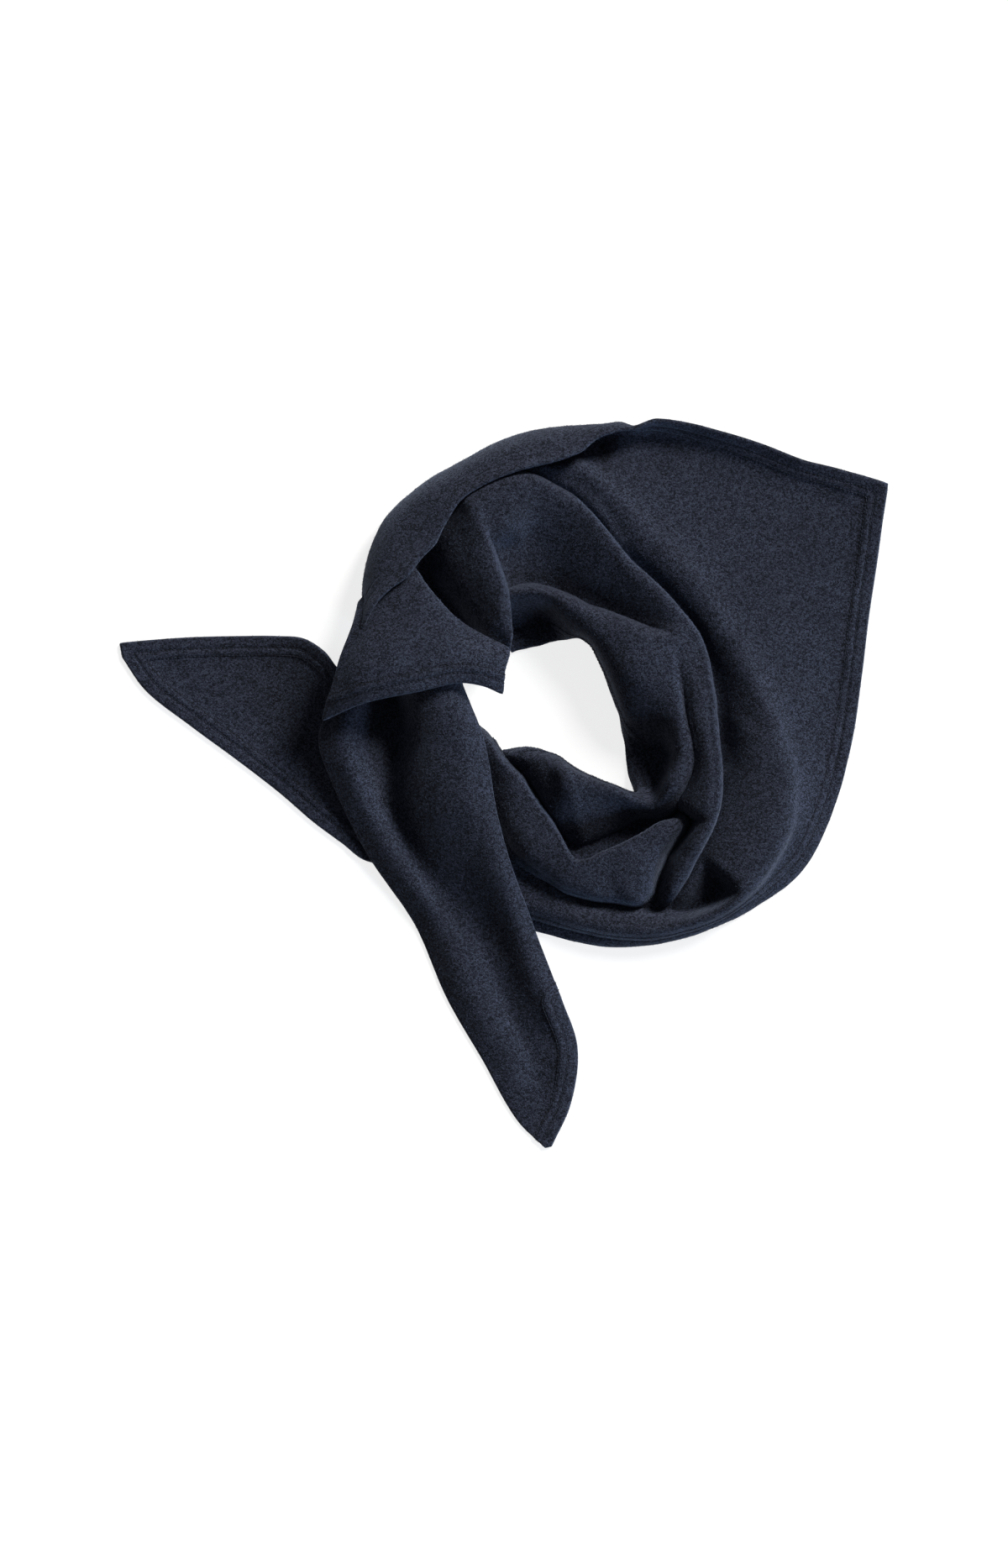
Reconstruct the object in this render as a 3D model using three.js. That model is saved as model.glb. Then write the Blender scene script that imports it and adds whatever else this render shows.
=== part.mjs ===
// Knitted triangle scarf, wound once round into a loose neck loop and laid on a flat surface.
// One triangle of milled wool knit: its long edge and both short edges are turned and topstitched.
// Millimetres, +Z up. The surface it lies on is z = 0, and the origin is the middle of its outline.
import * as THREE from 'three';

// ---- driving dimensions ----
const CLOTH = 2.0;         // wall of the milled knit
const HEM_WIDTH = 16;      // depth of the turned hem
const SEAM_GAP = 0.3;      // between two stretches of the same cloth
const LOOP = { x: 38.5, y: 58.5 };   // middle of the neck loop
const POINT_ANGLE = 34.3;  // where the right-angle point of the triangle lies
const STEP_ANGLE = 5;      // degrees between two sections of the loop

const NAVY = { color: 0x23262f, roughness: 0.95, metalness: 0.0 };

// ---- curves ----

// Smooth value at t through rows [key, value...], with no overshoot between them.
function follow(rows, t, column) {
  const up = rows[0][0] < rows[rows.length - 1][0];
  const sorted = up ? rows : [...rows].reverse();
  const last = sorted.length - 1;
  if (t <= sorted[0][0]) return sorted[0][column];
  if (t >= sorted[last][0]) return sorted[last][column];
  let i = 0;
  while (sorted[i + 1][0] < t) i += 1;
  const slope = (k) => {
    if (k < 0 || k >= last) return null;
    return (sorted[k + 1][column] - sorted[k][column]) / (sorted[k + 1][0] - sorted[k][0]);
  };
  const tangent = (k) => {
    const before = slope(k - 1);
    const after = slope(k);
    if (before === null) return after;
    if (after === null) return before;
    if (before * after <= 0) return 0;
    return (2 * before * after) / (before + after);
  };
  const width = sorted[i + 1][0] - sorted[i][0];
  const s = (t - sorted[i][0]) / width;
  const [a, b] = [sorted[i][column], sorted[i + 1][column]];
  const [ma, mb] = [tangent(i) * width, tangent(i + 1) * width];
  const s2 = s * s;
  const s3 = s2 * s;
  return (2 * s3 - 3 * s2 + 1) * a + (s3 - 2 * s2 + s) * ma + (3 * s2 - 2 * s3) * b + (s3 - s2) * mb;
}

// Points on a smooth curve. The number of faces between two given points is one value or a list.
function curvePoints(points, faces) {
  const curve = new THREE.CatmullRomCurve3(points, false, 'centripetal');
  const spans = points.length - 1;
  const places = [0];
  for (let span = 0; span < spans; span += 1) {
    const count = Array.isArray(faces) ? faces[span] : faces;
    for (let k = 1; k <= count; k += 1) places.push((span + k / count) / spans);
  }
  return places.map((place) => curve.getPoint(place));
}

// ---- sheets: a grid of points on the cloth's underside, [section][place across] ----

// The point of a fold line at an angle round the loop.
function loopPoint(rows, angle) {
  const turn = THREE.MathUtils.degToRad(angle);
  const reach = follow(rows, angle, 1);
  const height = follow(rows, angle, 2);
  return new THREE.Vector3(LOOP.x + reach * Math.cos(turn), LOOP.y + reach * Math.sin(turn), height);
}

// A sheet round the loop. Each fold line is a table of [angle, reach, height].
function loopSheet(lines, faces, angles) {
  return angles.map((angle) => curvePoints(lines.map((rows) => loopPoint(rows, angle)), faces));
}

// A sheet through sections that each hold the same number of [x, y, height] points.
function crossSheet(sections, alongSteps, acrossSteps) {
  const lines = sections[0].map((_, k) => {
    const points = sections.map((section) => new THREE.Vector3(...section[k]));
    return curvePoints(points, alongSteps);
  });
  return lines[0].map((_, i) => curvePoints(lines.map((line) => line[i]), acrossSteps));
}

function onSurface(grid) {
  grid.flat().forEach((p) => { p.z = Math.max(p.z, 0); });
  return grid;
}

// Directions of the wall's thickness, square to the sheet.
function normals(grid) {
  const rows = grid.length - 1;
  const cols = grid[0].length - 1;
  return grid.map((section, i) => section.map((_, j) => {
    const along = grid[Math.min(i + 1, rows)][j].clone().sub(grid[Math.max(i - 1, 0)][j]);
    const across = section[Math.min(j + 1, cols)].clone().sub(section[Math.max(j - 1, 0)]);
    return along.cross(across).normalize();
  }));
}

// Direction of the wall on a border where two sheets meet: half way between the two, like a mitre.
function mitre(before, border, after, angle) {
  const [a, b, c] = [before, border, after].map((rows) => loopPoint(rows, angle));
  const turn = THREE.MathUtils.degToRad(angle);
  const along = new THREE.Vector3(Math.sin(turn), -Math.cos(turn), 0);
  const across = b.clone().sub(a).normalize().add(c.sub(b).normalize());
  return along.cross(across).normalize();
}

// Close a sheet into a wall: underside, topside and a rim round the border.
function wall(grid, directions, thickness) {
  const rows = grid.length;
  const cols = grid[0].length;
  const under = (i, j) => i * cols + j;
  const over = (i, j) => rows * cols + i * cols + j;
  const positions = [];
  grid.flat().forEach((p) => positions.push(p.x, p.y, p.z));
  grid.forEach((section, i) => section.forEach((p, j) => {
    const top = p.clone().addScaledVector(directions[i][j], thickness(i / (rows - 1), j / (cols - 1), p));
    positions.push(top.x, top.y, Math.max(top.z, 0));
  }));
  const faces = [];
  const quad = (a, b, c, d) => faces.push(a, b, c, a, c, d);
  for (let i = 0; i < rows - 1; i += 1) {
    for (let j = 0; j < cols - 1; j += 1) {
      quad(over(i, j), over(i + 1, j), over(i + 1, j + 1), over(i, j + 1));
      quad(under(i, j), under(i, j + 1), under(i + 1, j + 1), under(i + 1, j));
    }
  }
  for (let i = 0; i < rows - 1; i += 1) {
    quad(under(i, 0), under(i + 1, 0), over(i + 1, 0), over(i, 0));
    quad(over(i, cols - 1), over(i + 1, cols - 1), under(i + 1, cols - 1), under(i, cols - 1));
  }
  for (let j = 0; j < cols - 1; j += 1) {
    quad(over(0, j), over(0, j + 1), under(0, j + 1), under(0, j));
    quad(under(rows - 1, j), under(rows - 1, j + 1), over(rows - 1, j + 1), over(rows - 1, j));
  }
  const geometry = new THREE.BufferGeometry();
  geometry.setAttribute('position', new THREE.Float32BufferAttribute(positions, 3));
  geometry.setIndex(faces);
  geometry.computeVertexNormals();
  return geometry;
}

// The same points moved by a step of half the seam gap.
function stepped(points, x, y) {
  const step = new THREE.Vector3(x, y, 0).setLength(SEAM_GAP / 2);
  return points.map((p) => p.clone().add(step));
}

const scarf = new THREE.Group();
scarf.name = 'knitted_triangle_scarf';

function addStretch(name, grid, directions, thickness = () => CLOTH) {
  const mesh = new THREE.Mesh(wall(grid, directions, thickness), new THREE.MeshStandardMaterial(NAVY));
  mesh.name = name;
  scarf.add(mesh);
}

// ---- fold lines of the loop, each [angle, reach from the middle, height of the underside] ----

const INNER_EDGE = [
  [130, 60, 0], [121, 61, 0], [110, 59, 0], [100, 58.5, 0], [90, 61, 0], [80, 65, 0], [68, 70, 0],
  [60, 69, 0], [50, 64, 0], [40, 60, 0], [20, 56, 0], [10, 57, 0], [0, 60, 0], [-10, 63, 0],
  [-20, 68, 0], [-30, 75, 0], [-36, 83, 0], [-43, 99, 6], [-50, 80, 8], [-60, 62, 6], [-70, 48.5, 3],
  [-80, 39, 0], [-90, 36, 0], [-105, 34, 0], [-120, 36.5, 0], [-130, 41.5, 0], [-140, 50, 0],
];
const INNER_WALL = [
  [130, 76, 0], [110, 78, 0], [97, 80, 1], [90, 77, 2], [85, 74, 8], [78, 71, 15], [68, 72.5, 25.5],
  [60, 70.8, 28.5], [50, 66.5, 29.5], [40, 63, 30], [30, 60.5, 30], [20, 60, 28], [10, 61, 27],
  [0, 64, 23], [-10, 67.5, 13], [-20, 73, 4], [-30, 81, 3], [-37, 90, 6], [-43, 100, 15],
  [-50, 80.5, 20], [-60, 62.5, 22], [-70, 49, 22], [-80, 39, 21], [-90, 35.8, 18], [-105, 34, 15],
  [-120, 36, 12], [-130, 41, 9], [-140, 49.8, 3.4],
];
const ROLL_CREST = [
  [130, 102, 8], [110, 103, 26], [100, 101, 29], [90, 95, 31], [80, 86, 33], [68, 79, 35.5],
  [60, 77, 37.5], [50, 77, 38.5], [40, 76, 40], [30, 75.5, 41.5], [20, 77, 40], [10, 80, 36],
  [0, 84, 31], [-10, 93, 21], [-20, 103, 8], [-30, 106, 8], [-37, 108, 13], [-43, 104, 26],
  [-50, 82.5, 33], [-60, 66, 35], [-70, 56, 37], [-75, 53, 38], [-80, 50, 37], [-85, 47, 32],
  [-90, 43, 28], [-105, 40, 22], [-120, 42, 17], [-130, 46, 12], [-140, 50.2, 4.6],
];
const ROLL_FLANK = [
  [130, 110, 6], [110, 106, 26], [100, 104, 29], [90, 99, 32.5], [80, 93.5, 34.5], [70, 90, 36],
  [60, 91.5, 37], [50, 97, 40], [40, 104, 41], [33, 108, 41], [27, 107, 41], [20, 104, 41],
  [10, 106, 41], [0, 107, 40], [-10, 108.5, 38.5], [-20, 113.5, 37], [-30, 114, 35.5], [-36, 116, 31],
  [-42, 115, 25], [-46, 110, 22], [-50, 108, 15], [-60, 106, 11], [-65, 105.5, 10.5], [-70, 106, 10],
  [-75, 107, 10], [-80, 101, 12], [-84, 93, 16], [-88, 83, 19], [-92, 72.5, 20], [-98, 62, 19],
  [-105, 54, 17], [-120, 49, 10], [-130, 49, 8], [-140, 51, 4],
];
const ROLL_DROP = [
  [130, 113, 5], [110, 108.4, 19.5], [100, 108, 20], [90, 103.5, 21], [80, 98, 21], [70, 94.5, 23],
  [60, 96.5, 26], [50, 100.5, 30], [40, 107.5, 33], [33, 114, 39.8], [28, 114.5, 39.6], [20, 109.5, 40],
  [10, 108.5, 38], [0, 111, 35], [-10, 117.5, 35.5], [-20, 125, 33], [-30, 126.5, 29], [-36, 125.5, 22],
  [-42, 120.5, 9], [-46, 119, 4], [-50, 114, 1], [-60, 112, 0], [-70, 112, 0], [-76, 113, 0],
  [-80, 110, 1], [-84, 100, 3], [-88, 86.5, 5.5], [-92, 77.5, 6.5], [-98, 66.5, 8], [-105, 58.5, 8],
  [-120, 52, 7], [-130, 50.6, 5], [-140, 51.6, 3],
];
const ROLL_VALLEY = [
  [130, 116, 4], [110, 110, 18], [103, 109, 16], [100, 108.5, 14], [90, 104, 14], [80, 98.5, 15],
  [75, 96.5, 16], [70, 95, 17], [60, 97, 20], [50, 101.5, 24], [45, 105, 27], [40, 110, 30],
  [33, 119, 38.5], [28, 120, 39], [22, 113, 38.8], [10, 111.5, 36], [0, 112, 33], [-10, 118.7, 31],
  [-20, 126.5, 20], [-30, 128, 12], [-36, 131, 3], [-41, 133.5, 2.5], [-45, 132, 1.5], [-50, 130.5, 0],
  [-60, 128, 0], [-70, 127.5, 0], [-76, 129.5, 0], [-80, 128.5, 0], [-82.5, 122, 1], [-85, 108, 3],
  [-87, 96, 4], [-90, 86.5, 4], [-95, 77.5, 4], [-105, 65, 4], [-115, 56.5, 4], [-130, 54, 3],
  [-140, 53.5, 2], [-150, 53, 2], [-160, 55, 2], [-172, 63, 2],
];

const COLLAR_FOOT = [
  [137, 72, 9], [132, 64, 15], [128, 62, 23], [124, 62, 30], [120, 66, 36], [116, 73, 39],
  [113, 86, 40.5], [110.6, 99, 40], [110.2, 106, 39], [109.3, 111, 29.5], [106, 110.6, 20],
  ...ROLL_VALLEY.slice(2),
];
const COLLAR_SLOPE = [
  [137, 92, 5], [132, 90, 16], [128, 88, 29], [124, 86, 36], [120, 88, 39.5], [116, 94, 42.5],
  [113, 104, 43.5], [110.2, 114, 44], [109.3, 117, 24], [103, 118, 19], [100, 118, 17], [90, 116, 17],
  [80, 109, 18.5], [70, 104.5, 20], [60, 104.5, 22.5], [50, 108, 26.5], [40, 116, 33], [33, 124, 38.5],
  [28, 125.5, 38.5], [20, 118.5, 39.5], [10, 115.5, 38], [0, 115.5, 37], [-10, 122.5, 36], [-20, 131, 33],
  [-30, 133, 30], [-34.5, 135, 27], [-36.5, 137, 12], [-38.5, 141, 20], [-41, 138, 27],
  [-45, 134, 27], [-50, 130, 28], [-60, 124.5, 29], [-70, 124, 29], [-76, 126, 29], [-80, 125, 28],
  [-82.5, 119.5, 28], [-85, 107, 28], [-87, 99, 27], [-90, 93.5, 26], [-95, 84.5, 25], [-105, 69, 25],
  [-115, 60, 25], [-130, 60, 22], [-140, 60, 21], [-150, 59, 19], [-160, 59, 17], [-172, 67, 13],
];
const COLLAR_SHOULDER = [
  [137, 114, 1], [132, 114, 10], [128, 112, 25], [124, 110, 33], [120, 113, 37.5], [116, 119, 41.5],
  [113, 129, 43.5], [110.2, 138, 44], [109.3, 141, 29], [103, 144, 27], [100, 144, 27], [97, 146, 26],
  [94, 146, 26], [90, 142, 26], [80, 128, 27], [70, 117, 27.5], [60, 114, 28], [50, 115, 30.5],
  [40, 121, 35], [33, 127, 38.3], [28, 128.5, 38], [20, 123.5, 39.5], [10, 120.5, 40.5],
  [0, 120.5, 40.5], [-10, 126.5, 39.5], [-20, 134, 38.5], [-30, 138, 36.5], [-34.5, 139, 33],
  [-36.5, 141, 3], [-38.5, 140.5, 24], [-41, 142, 27], [-45, 142.5, 27], [-50, 144.5, 26],
  [-55, 151, 25], [-58, 157, 24], [-61, 165, 23], [-65, 171, 21], [-70, 160, 21], [-76, 154, 22],
  [-80, 147, 23], [-85, 140, 24], [-90, 130, 24], [-100, 117, 23], [-110, 100, 21], [-130, 72, 18],
  [-150, 70, 15], [-172, 74, 10],
];
const COLLAR_HOLLOW = [
  [137, 135, 1], [132, 136, 5], [128, 137, 21], [124, 138, 31], [120, 141, 36.5], [116, 146, 40.5],
  [113, 150, 42.5], [110.2, 152, 43.5], [109.3, 152.5, 38], [103, 157, 38.5], [100, 160, 38],
  [97, 167, 37], [94, 173, 37], [90, 171, 37], [85, 163, 37], [80, 154, 37], [75, 144.5, 37],
  [70, 136, 36.5], [65, 131, 36], [60, 128, 36], [50, 126, 36.5], [40, 128, 38], [33, 130, 38],
  [28, 131, 37.6], [20, 129, 39], [10, 126.5, 41], [0, 126.5, 41.5], [-10, 131, 41.5], [-20, 140, 41],
  [-30, 148.5, 40], [-34.5, 151, 36], [-36.5, 150, 26], [-41, 150.5, 15], [-45, 151.5, 11],
  [-50, 154.3, 9], [-55, 161.5, 8], [-58, 168.5, 6], [-61, 176, 3], [-65, 173, 9], [-70, 163.5, 17],
  [-76, 157, 18], [-80, 151, 18], [-85, 145, 17], [-90, 135.5, 16], [-100, 123, 14], [-105, 118, 12],
  [-115, 100, 12], [-130, 84, 12], [-140, 78, 12], [-160, 75, 10], [-172, 80, 7],
];
const COLLAR_RISE = [
  [137, 146, 2], [132, 147, 4], [128, 149, 17], [124, 151, 28], [120, 155, 34], [116, 161, 38],
  [113, 166, 41], [111, 172, 42.5], [109.8, 174, 43], [107.5, 170, 41], [103, 174, 41.5],
  [100, 177, 41], [97, 180, 40], [94, 185, 39.5], [90, 180.5, 39.8], [85, 174, 40], [80, 165, 40],
  [75, 155.5, 40], [70, 147, 40], [65, 140.5, 39.8], [60, 136, 39.2], [50, 133, 39.5], [40, 132, 39],
  [33, 133, 37.6], [28, 133.5, 37.2], [20, 132.5, 38.6], [10, 131, 40.6], [0, 131.5, 41],
  [-10, 136, 41], [-20, 145, 40.5], [-30, 155, 39.6], [-35, 158, 38.5], [-36.5, 157, 37],
  [-41, 158, 35], [-45, 160.5, 32], [-50, 164, 28.5], [-55, 172, 23], [-58, 179, 15], [-60, 182, 0],
  [-61, 179, 1], [-65, 175.3, 6], [-70, 164.5, 16], [-76, 158, 16], [-80, 152.5, 16], [-85, 146.5, 15],
  [-90, 137, 14], [-100, 125, 12], [-105, 120, 11], [-115, 104, 10], [-130, 88, 10], [-140, 82, 10],
  [-160, 78, 8], [-172, 84, 6],
];
const COLLAR_CREST = [
  [137, 156, 1], [132, 158, 3], [128, 160, 11], [124, 164, 23], [120, 170, 30], [116, 177, 34],
  [113, 184, 37], [111, 189, 40], [106, 194, 40], [100, 198, 40], [94, 195, 39.5], [90, 188.5, 39.5],
  [85, 181, 39.5], [80, 170.5, 39.5], [75, 160, 39.5], [70, 151, 39.5], [65, 144.5, 39],
  [60, 140, 38.5], [50, 137, 39], [40, 136, 38.5], [33, 137, 37], [28, 137.5, 36.5], [20, 136.5, 38],
  [10, 135, 40], [0, 135.5, 40.5], [-10, 140, 40.5], [-20, 149, 40], [-30, 159, 39], [-35, 162.5, 38],
  [-41, 165.5, 36], [-45, 169, 32], [-50, 175, 27], [-55, 180.5, 22], [-58, 184, 14], [-60, 183, 2],
  [-61, 180.5, 2], [-65, 177.6, 3.6], [-70, 166, 11], [-76, 159, 12], [-80, 153.5, 12], [-85, 147.5, 12],
  [-90, 138.5, 11], [-100, 127, 10], [-105, 122, 9], [-115, 108, 8], [-130, 92, 8], [-140, 86, 8],
  [-160, 82, 7], [-172, 88, 5],
];
const CREASE = [
  [137, 170, 5], [132, 172, 8], [128, 175, 13], [124, 180, 18], [118, 190, 20], [106, 203, 17],
  [99, 202.5, 12], [95, 199, 9], [90, 188, 5], [85, 180, 5], [80, 169.5, 5], [75, 159, 5], [70, 150, 5],
  [65, 143.5, 5], [60, 138.5, 5], [50, 135.5, 5], [40, 134.5, 5], [30, 135.5, 5], [20, 135, 4],
  [10, 133.5, 3], [0, 134, 2], [-10, 138.5, 1], [-20, 147.5, 1], [-30, 157.5, 1], [-36, 162, 1],
  [-40, 164.5, 1], [-45, 168, 1], [-50, 174.5, 1], [-55, 180.5, 1], [-58, 185.5, 1], [-61, 185, 1],
  [-65, 180, 2.5], [-70, 168, 5], [-75, 162, 5], [-80, 156, 5], [-90, 141, 5], [-100, 130, 5],
  [-105, 125, 5], [-115, 116, 5], [-130, 104, 5], [-140, 98, 5], [-160, 92, 4], [-172, 96, 3],
];

const OUTER_VALLEY = [
  [104, 207.5, 14], [98, 207, 12.5], [94, 204, 12.5], [90, 196, 15], [85, 188, 16], [80, 178, 16],
  [75, 167.5, 15], [70, 157, 14], [65, 150.5, 11], [60, 146, 8], [50, 142.8, 7], [40, 141.8, 7],
  [30, 143, 7], [20, 143, 6], [10, 142, 4], [0, 142.5, 3], [-5, 144.5, 2], [-10, 148, 3], [-15, 151, 5],
  [-20, 154, 9], [-25, 158.5, 13], [-30, 163, 16], [-36, 168, 18], [-40, 171, 18], [-45, 175.5, 17],
  [-50, 181, 14], [-55, 187, 9], [-58, 190.5, 4], [-60, 189.5, 2], [-65, 184.5, 6], [-70, 173, 10],
  [-80, 161, 10], [-90, 146.5, 9], [-100, 136, 7], [-105, 132, 6],
];
const OUTER_RISE = [
  [104, 210, 13], [98, 209.3, 13], [94, 206.5, 14], [90, 201, 17], [85, 197, 18], [80, 189, 18],
  [75, 178, 17], [70, 168, 16], [60, 154, 15], [50, 150, 14], [40, 149, 13.5], [30, 149.5, 13.5],
  [20, 151, 12.5], [10, 154, 12], [0, 158, 14], [-5, 163, 18], [-10, 168, 20], [-15, 172, 21.5],
  [-20, 176, 23.5], [-30, 184, 25], [-38, 193, 26], [-42, 199, 26], [-45, 203.5, 3], [-50, 204, 0],
  [-55, 201, 0], [-58, 197, 4], [-60, 194, 9], [-65, 188, 14], [-70, 180, 15], [-80, 167, 14],
  [-90, 155, 12], [-100, 146, 9], [-105, 141, 8],
];
const OUTER_CREST = [
  [104, 211.6, 11], [98, 211.2, 12], [94, 209, 15], [90, 205, 17], [85, 208, 18.5], [80, 201, 19],
  [75, 190, 18.5], [70, 181, 18], [60, 168, 18], [50, 163.5, 17.5], [40, 161.5, 17], [30, 161, 17],
  [20, 163, 17], [10, 170, 19], [-30, 218.5, 26.5], [-40, 220, 26.5], [-45, 219, 25.5], [-50, 216, 23],
  [-55, 211.5, 19.5], [-60, 206, 16.5], [-65, 199.5, 19], [-70, 192.5, 18], [-80, 178, 16],
  [-90, 166.5, 12], [-100, 158, 9], [-105, 150, 6],
];
const OUTER_FOOT = [
  [104, 213, 7], [98, 213, 7], [94, 211.5, 7], [90, 212, 7], [85, 217, 6], [80, 213, 6], [75, 204, 11],
  [70, 197, 11.5], [60, 184, 12], [50, 180, 12], [40, 178, 12], [30, 178, 12], [20, 181, 12],
  [10, 188, 12], [0, 197, 12], [-10, 209, 13], [-20, 221, 14], [-25, 225, 14], [-30, 226, 13],
  [-40, 225.5, 12.5], [-45, 223.5, 10], [-50, 220.5, 9], [-55, 216, 9], [-60, 211, 8], [-65, 205.5, 8],
  [-70, 198.5, 7], [-80, 184, 6], [-90, 173.5, 4], [-100, 165, 3], [-105, 159, 2],
];
const PANEL = [
  [157, 150, 0], [140, 168, 0], [120, 190, 0], [110, 207, 0], [104, 216, 0], [95, 222, 0], [84, 231, 0],
  [75, 229, 0], [70, 228, 0], [60, 228, 2], [50, 231, 2.5], [40, 238, 2.5], [34.3, 244, 2],
  [30, 238, 2.5], [20, 231, 2.5], [10, 227, 2], [0, 228, 1.5], [-10, 233, 2], [-20, 238, 3],
  [-30, 238, 4], [-40, 230, 4], [-50, 222.5, 5], [-60, 213, 5], [-70, 201, 4], [-80, 188, 3],
  [-90, 178, 1], [-105, 166, 0],
];
const OUTER_EDGE_TOP = [
  [84, 241, 22], [75, 251, 22], [70, 261, 20], [60, 273, 17], [50, 288, 14], [45, 298, 13],
  [40, 315.5, 11], [34.3, 339, 9],
];
const OUTER_EDGE_SIDE = [
  [34.3, 339, 9], [30, 318, 5], [25, 299, 2], [20, 283.5, 0], [15, 272, 0], [10, 264, 0], [5, 258, 0],
  [0, 254, 0], [-10, 249, 0], [-20, 247, 0], [-30, 246, 0], [-35, 242, 0], [-40, 236, 0], [-50, 224, 0],
  [-60, 214, 0], [-70, 203.5, 0], [-80, 192.5, 0], [-90, 182.5, 0], [-105, 174, 0],
];


// ---- fold lines of the turned-over edge, from the top of the loop round to the crossing ----

const TURNED_LOW = [
  [157, 168, 8], [150, 173, 4], [140, 191, 1], [130, 204, 0], [120, 210, 0], [110, 215, 0],
  [100, 225, 0], [90, 232, 0], [80, 239, 2], [76, 243, 5],
];
const TURNED_FOLD = [
  [157, 176, 22], [150, 181, 18], [146, 189, 16], [140, 199, 14], [130, 213, 13], [120, 218.5, 12],
  [110, 222.5, 12], [100, 231.5, 12], [90, 238, 13], [80, 245, 15], [76, 251, 18],
];
const TURNED_TOP = [
  [157, 174, 36], [150, 179, 38], [140, 190, 38], [130, 201, 37], [120, 208, 36], [110, 213, 35],
  [100, 222, 34], [90, 228, 32], [80, 240, 27], [76, 246, 27],
];
const TURNED_HEM = [
  [157, 173, 46], [150, 173, 50], [142, 169, 51], [136, 165, 50], [130, 168, 47], [125, 170, 45],
  [120, 179, 44], [112, 194, 44], [107, 198, 44], [99, 203, 44], [90, 209, 41], [84, 218, 36],
  [80, 234, 30], [76, 243, 29],
];

// ---- sections of the tails and of the crossing, each point [x, y, height of the underside] ----

// left tail: [upper x, upper y, lower x, lower y, height of the upper edge, middle, lower edge]
const LEFT_TAIL = [
  [-319, 116.5, -317, 106, 0, 0, 0],
  [-297.5, 118.5, -298, 79, 0, 0, 0],
  [-262, 121, -260, 49, 0, 0, 0],
  [-224, 122, -220.5, 20, 0, 0, 0],
  [-189, 122, -185.5, -7, 2, 3, 0],
  [-166.5, 120, -157.5, -31, 9, 9, 0],
  [-148.5, 109, -133, -49, 19, 15, 0],
  [-136, 93, -116, -62, 24, 12, 1],
  [-118, 76, -98, -66, 20, 6, 2],
];

// down tail: [left x, left y, right x, right y, then height at the left fold, shoulder, dip,
// ridge, trough, right crest and right fold]
const DOWN_TAIL = [
  [-139, 74, -38, 88, 24, 28, 8, 38, 43, 40, 34],
  [-153, 37.5, -17, 34, 20, 27, 4, 34, 43, 40, 35],
  [-138.5, -6, -8, -18.5, 13, 20, 6, 26, 39, 38, 34],
  [-113.5, -57, 3, -60.5, 6, 14, 9, 17, 25, 34, 31],
  [-73.5, -116.5, 23, -116.5, 0, 10, 9, 8, 12, 22, 18],
  [-46, -179.5, 46.5, -179.5, 0, 7, 7, 3, 6, 13, 9],
  [-18.5, -227, 59.5, -219, 0, 4, 4, 1, 3, 5, 1],
  [12.5, -281, 54.5, -266, 0, 0, 0, 0, 0, 0, 0],
  [34.5, -302, 39, -301, 0, 0, 0, 0, 0, 0, 0],
];
// how far across the down tail those lines lie, a row for each section
const DOWN_TAIL_PLACES = [
  [0, 0.18, 0.46, 0.66, 0.85, 0.95, 1],
  [0, 0.16, 0.45, 0.62, 0.86, 0.95, 1],
  [0, 0.16, 0.32, 0.5, 0.78, 0.93, 1],
  [0, 0.18, 0.32, 0.48, 0.68, 0.91, 1],
  [0, 0.2, 0.35, 0.5, 0.68, 0.88, 1],
  [0, 0.2, 0.35, 0.5, 0.66, 0.86, 1],
  [0, 0.2, 0.35, 0.5, 0.66, 0.85, 1],
  [0, 0.2, 0.35, 0.5, 0.66, 0.85, 1],
  [0, 0.2, 0.35, 0.5, 0.66, 0.85, 1],
];

// crossing flap: a section for each place along its hem, from the hem up to the turned fold
const CROSSING_FLAP = [
  [[-149, 54, 34], [-146, 66, 39], [-141, 83, 42], [-133, 103, 42], [-120, 124, 36], [-111, 134, 31]],
  [[-119, 67, 49], [-122.5, 85, 53], [-119, 107.5, 52], [-109, 130, 46], [-102, 146, 39], [-98, 154, 32]],
  [[-98, 72.5, 52], [-99.5, 91, 56], [-98, 114.5, 55], [-93, 142.5, 48], [-85.5, 170, 41], [-82, 176, 36]],
  [[-70, 78, 52], [-71.5, 95.5, 56], [-73.5, 118, 55], [-75.5, 144, 50], [-76, 176, 42], [-77, 180, 35]],
  [[-38.5, 85, 48], [-42, 99, 53], [-47, 116, 53], [-54, 130, 51], [-62, 160, 45], [-67, 160, 36]],
  [[-17.5, 82.5, 45], [-19, 97, 50], [-22.5, 109, 50], [-28, 116, 48], [-35, 132, 42], [-39, 129, 34]],
  [[-2, 76, 40], [0, 93.5, 45], [2.5, 102, 45], [4, 107.5, 43], [3.5, 111.5, 40], [0, 108, 36]],
];

const HIDDEN_LAYERS = { left: -84, right: -60, front: -34, back: 68, edge: 4, middle: 14 };

// ---- the stretches ----

// Section angles of every sheet round the loop: even steps, and the point of the triangle.
const STATIONS = Array.from({ length: 67 }, (_, i) => 160 - i * STEP_ANGLE);
STATIONS.push(POINT_ANGLE);
STATIONS.sort((a, b) => b - a);

const angleRange = (from, to) => STATIONS.filter((angle) => angle <= from && angle >= to);

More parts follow.
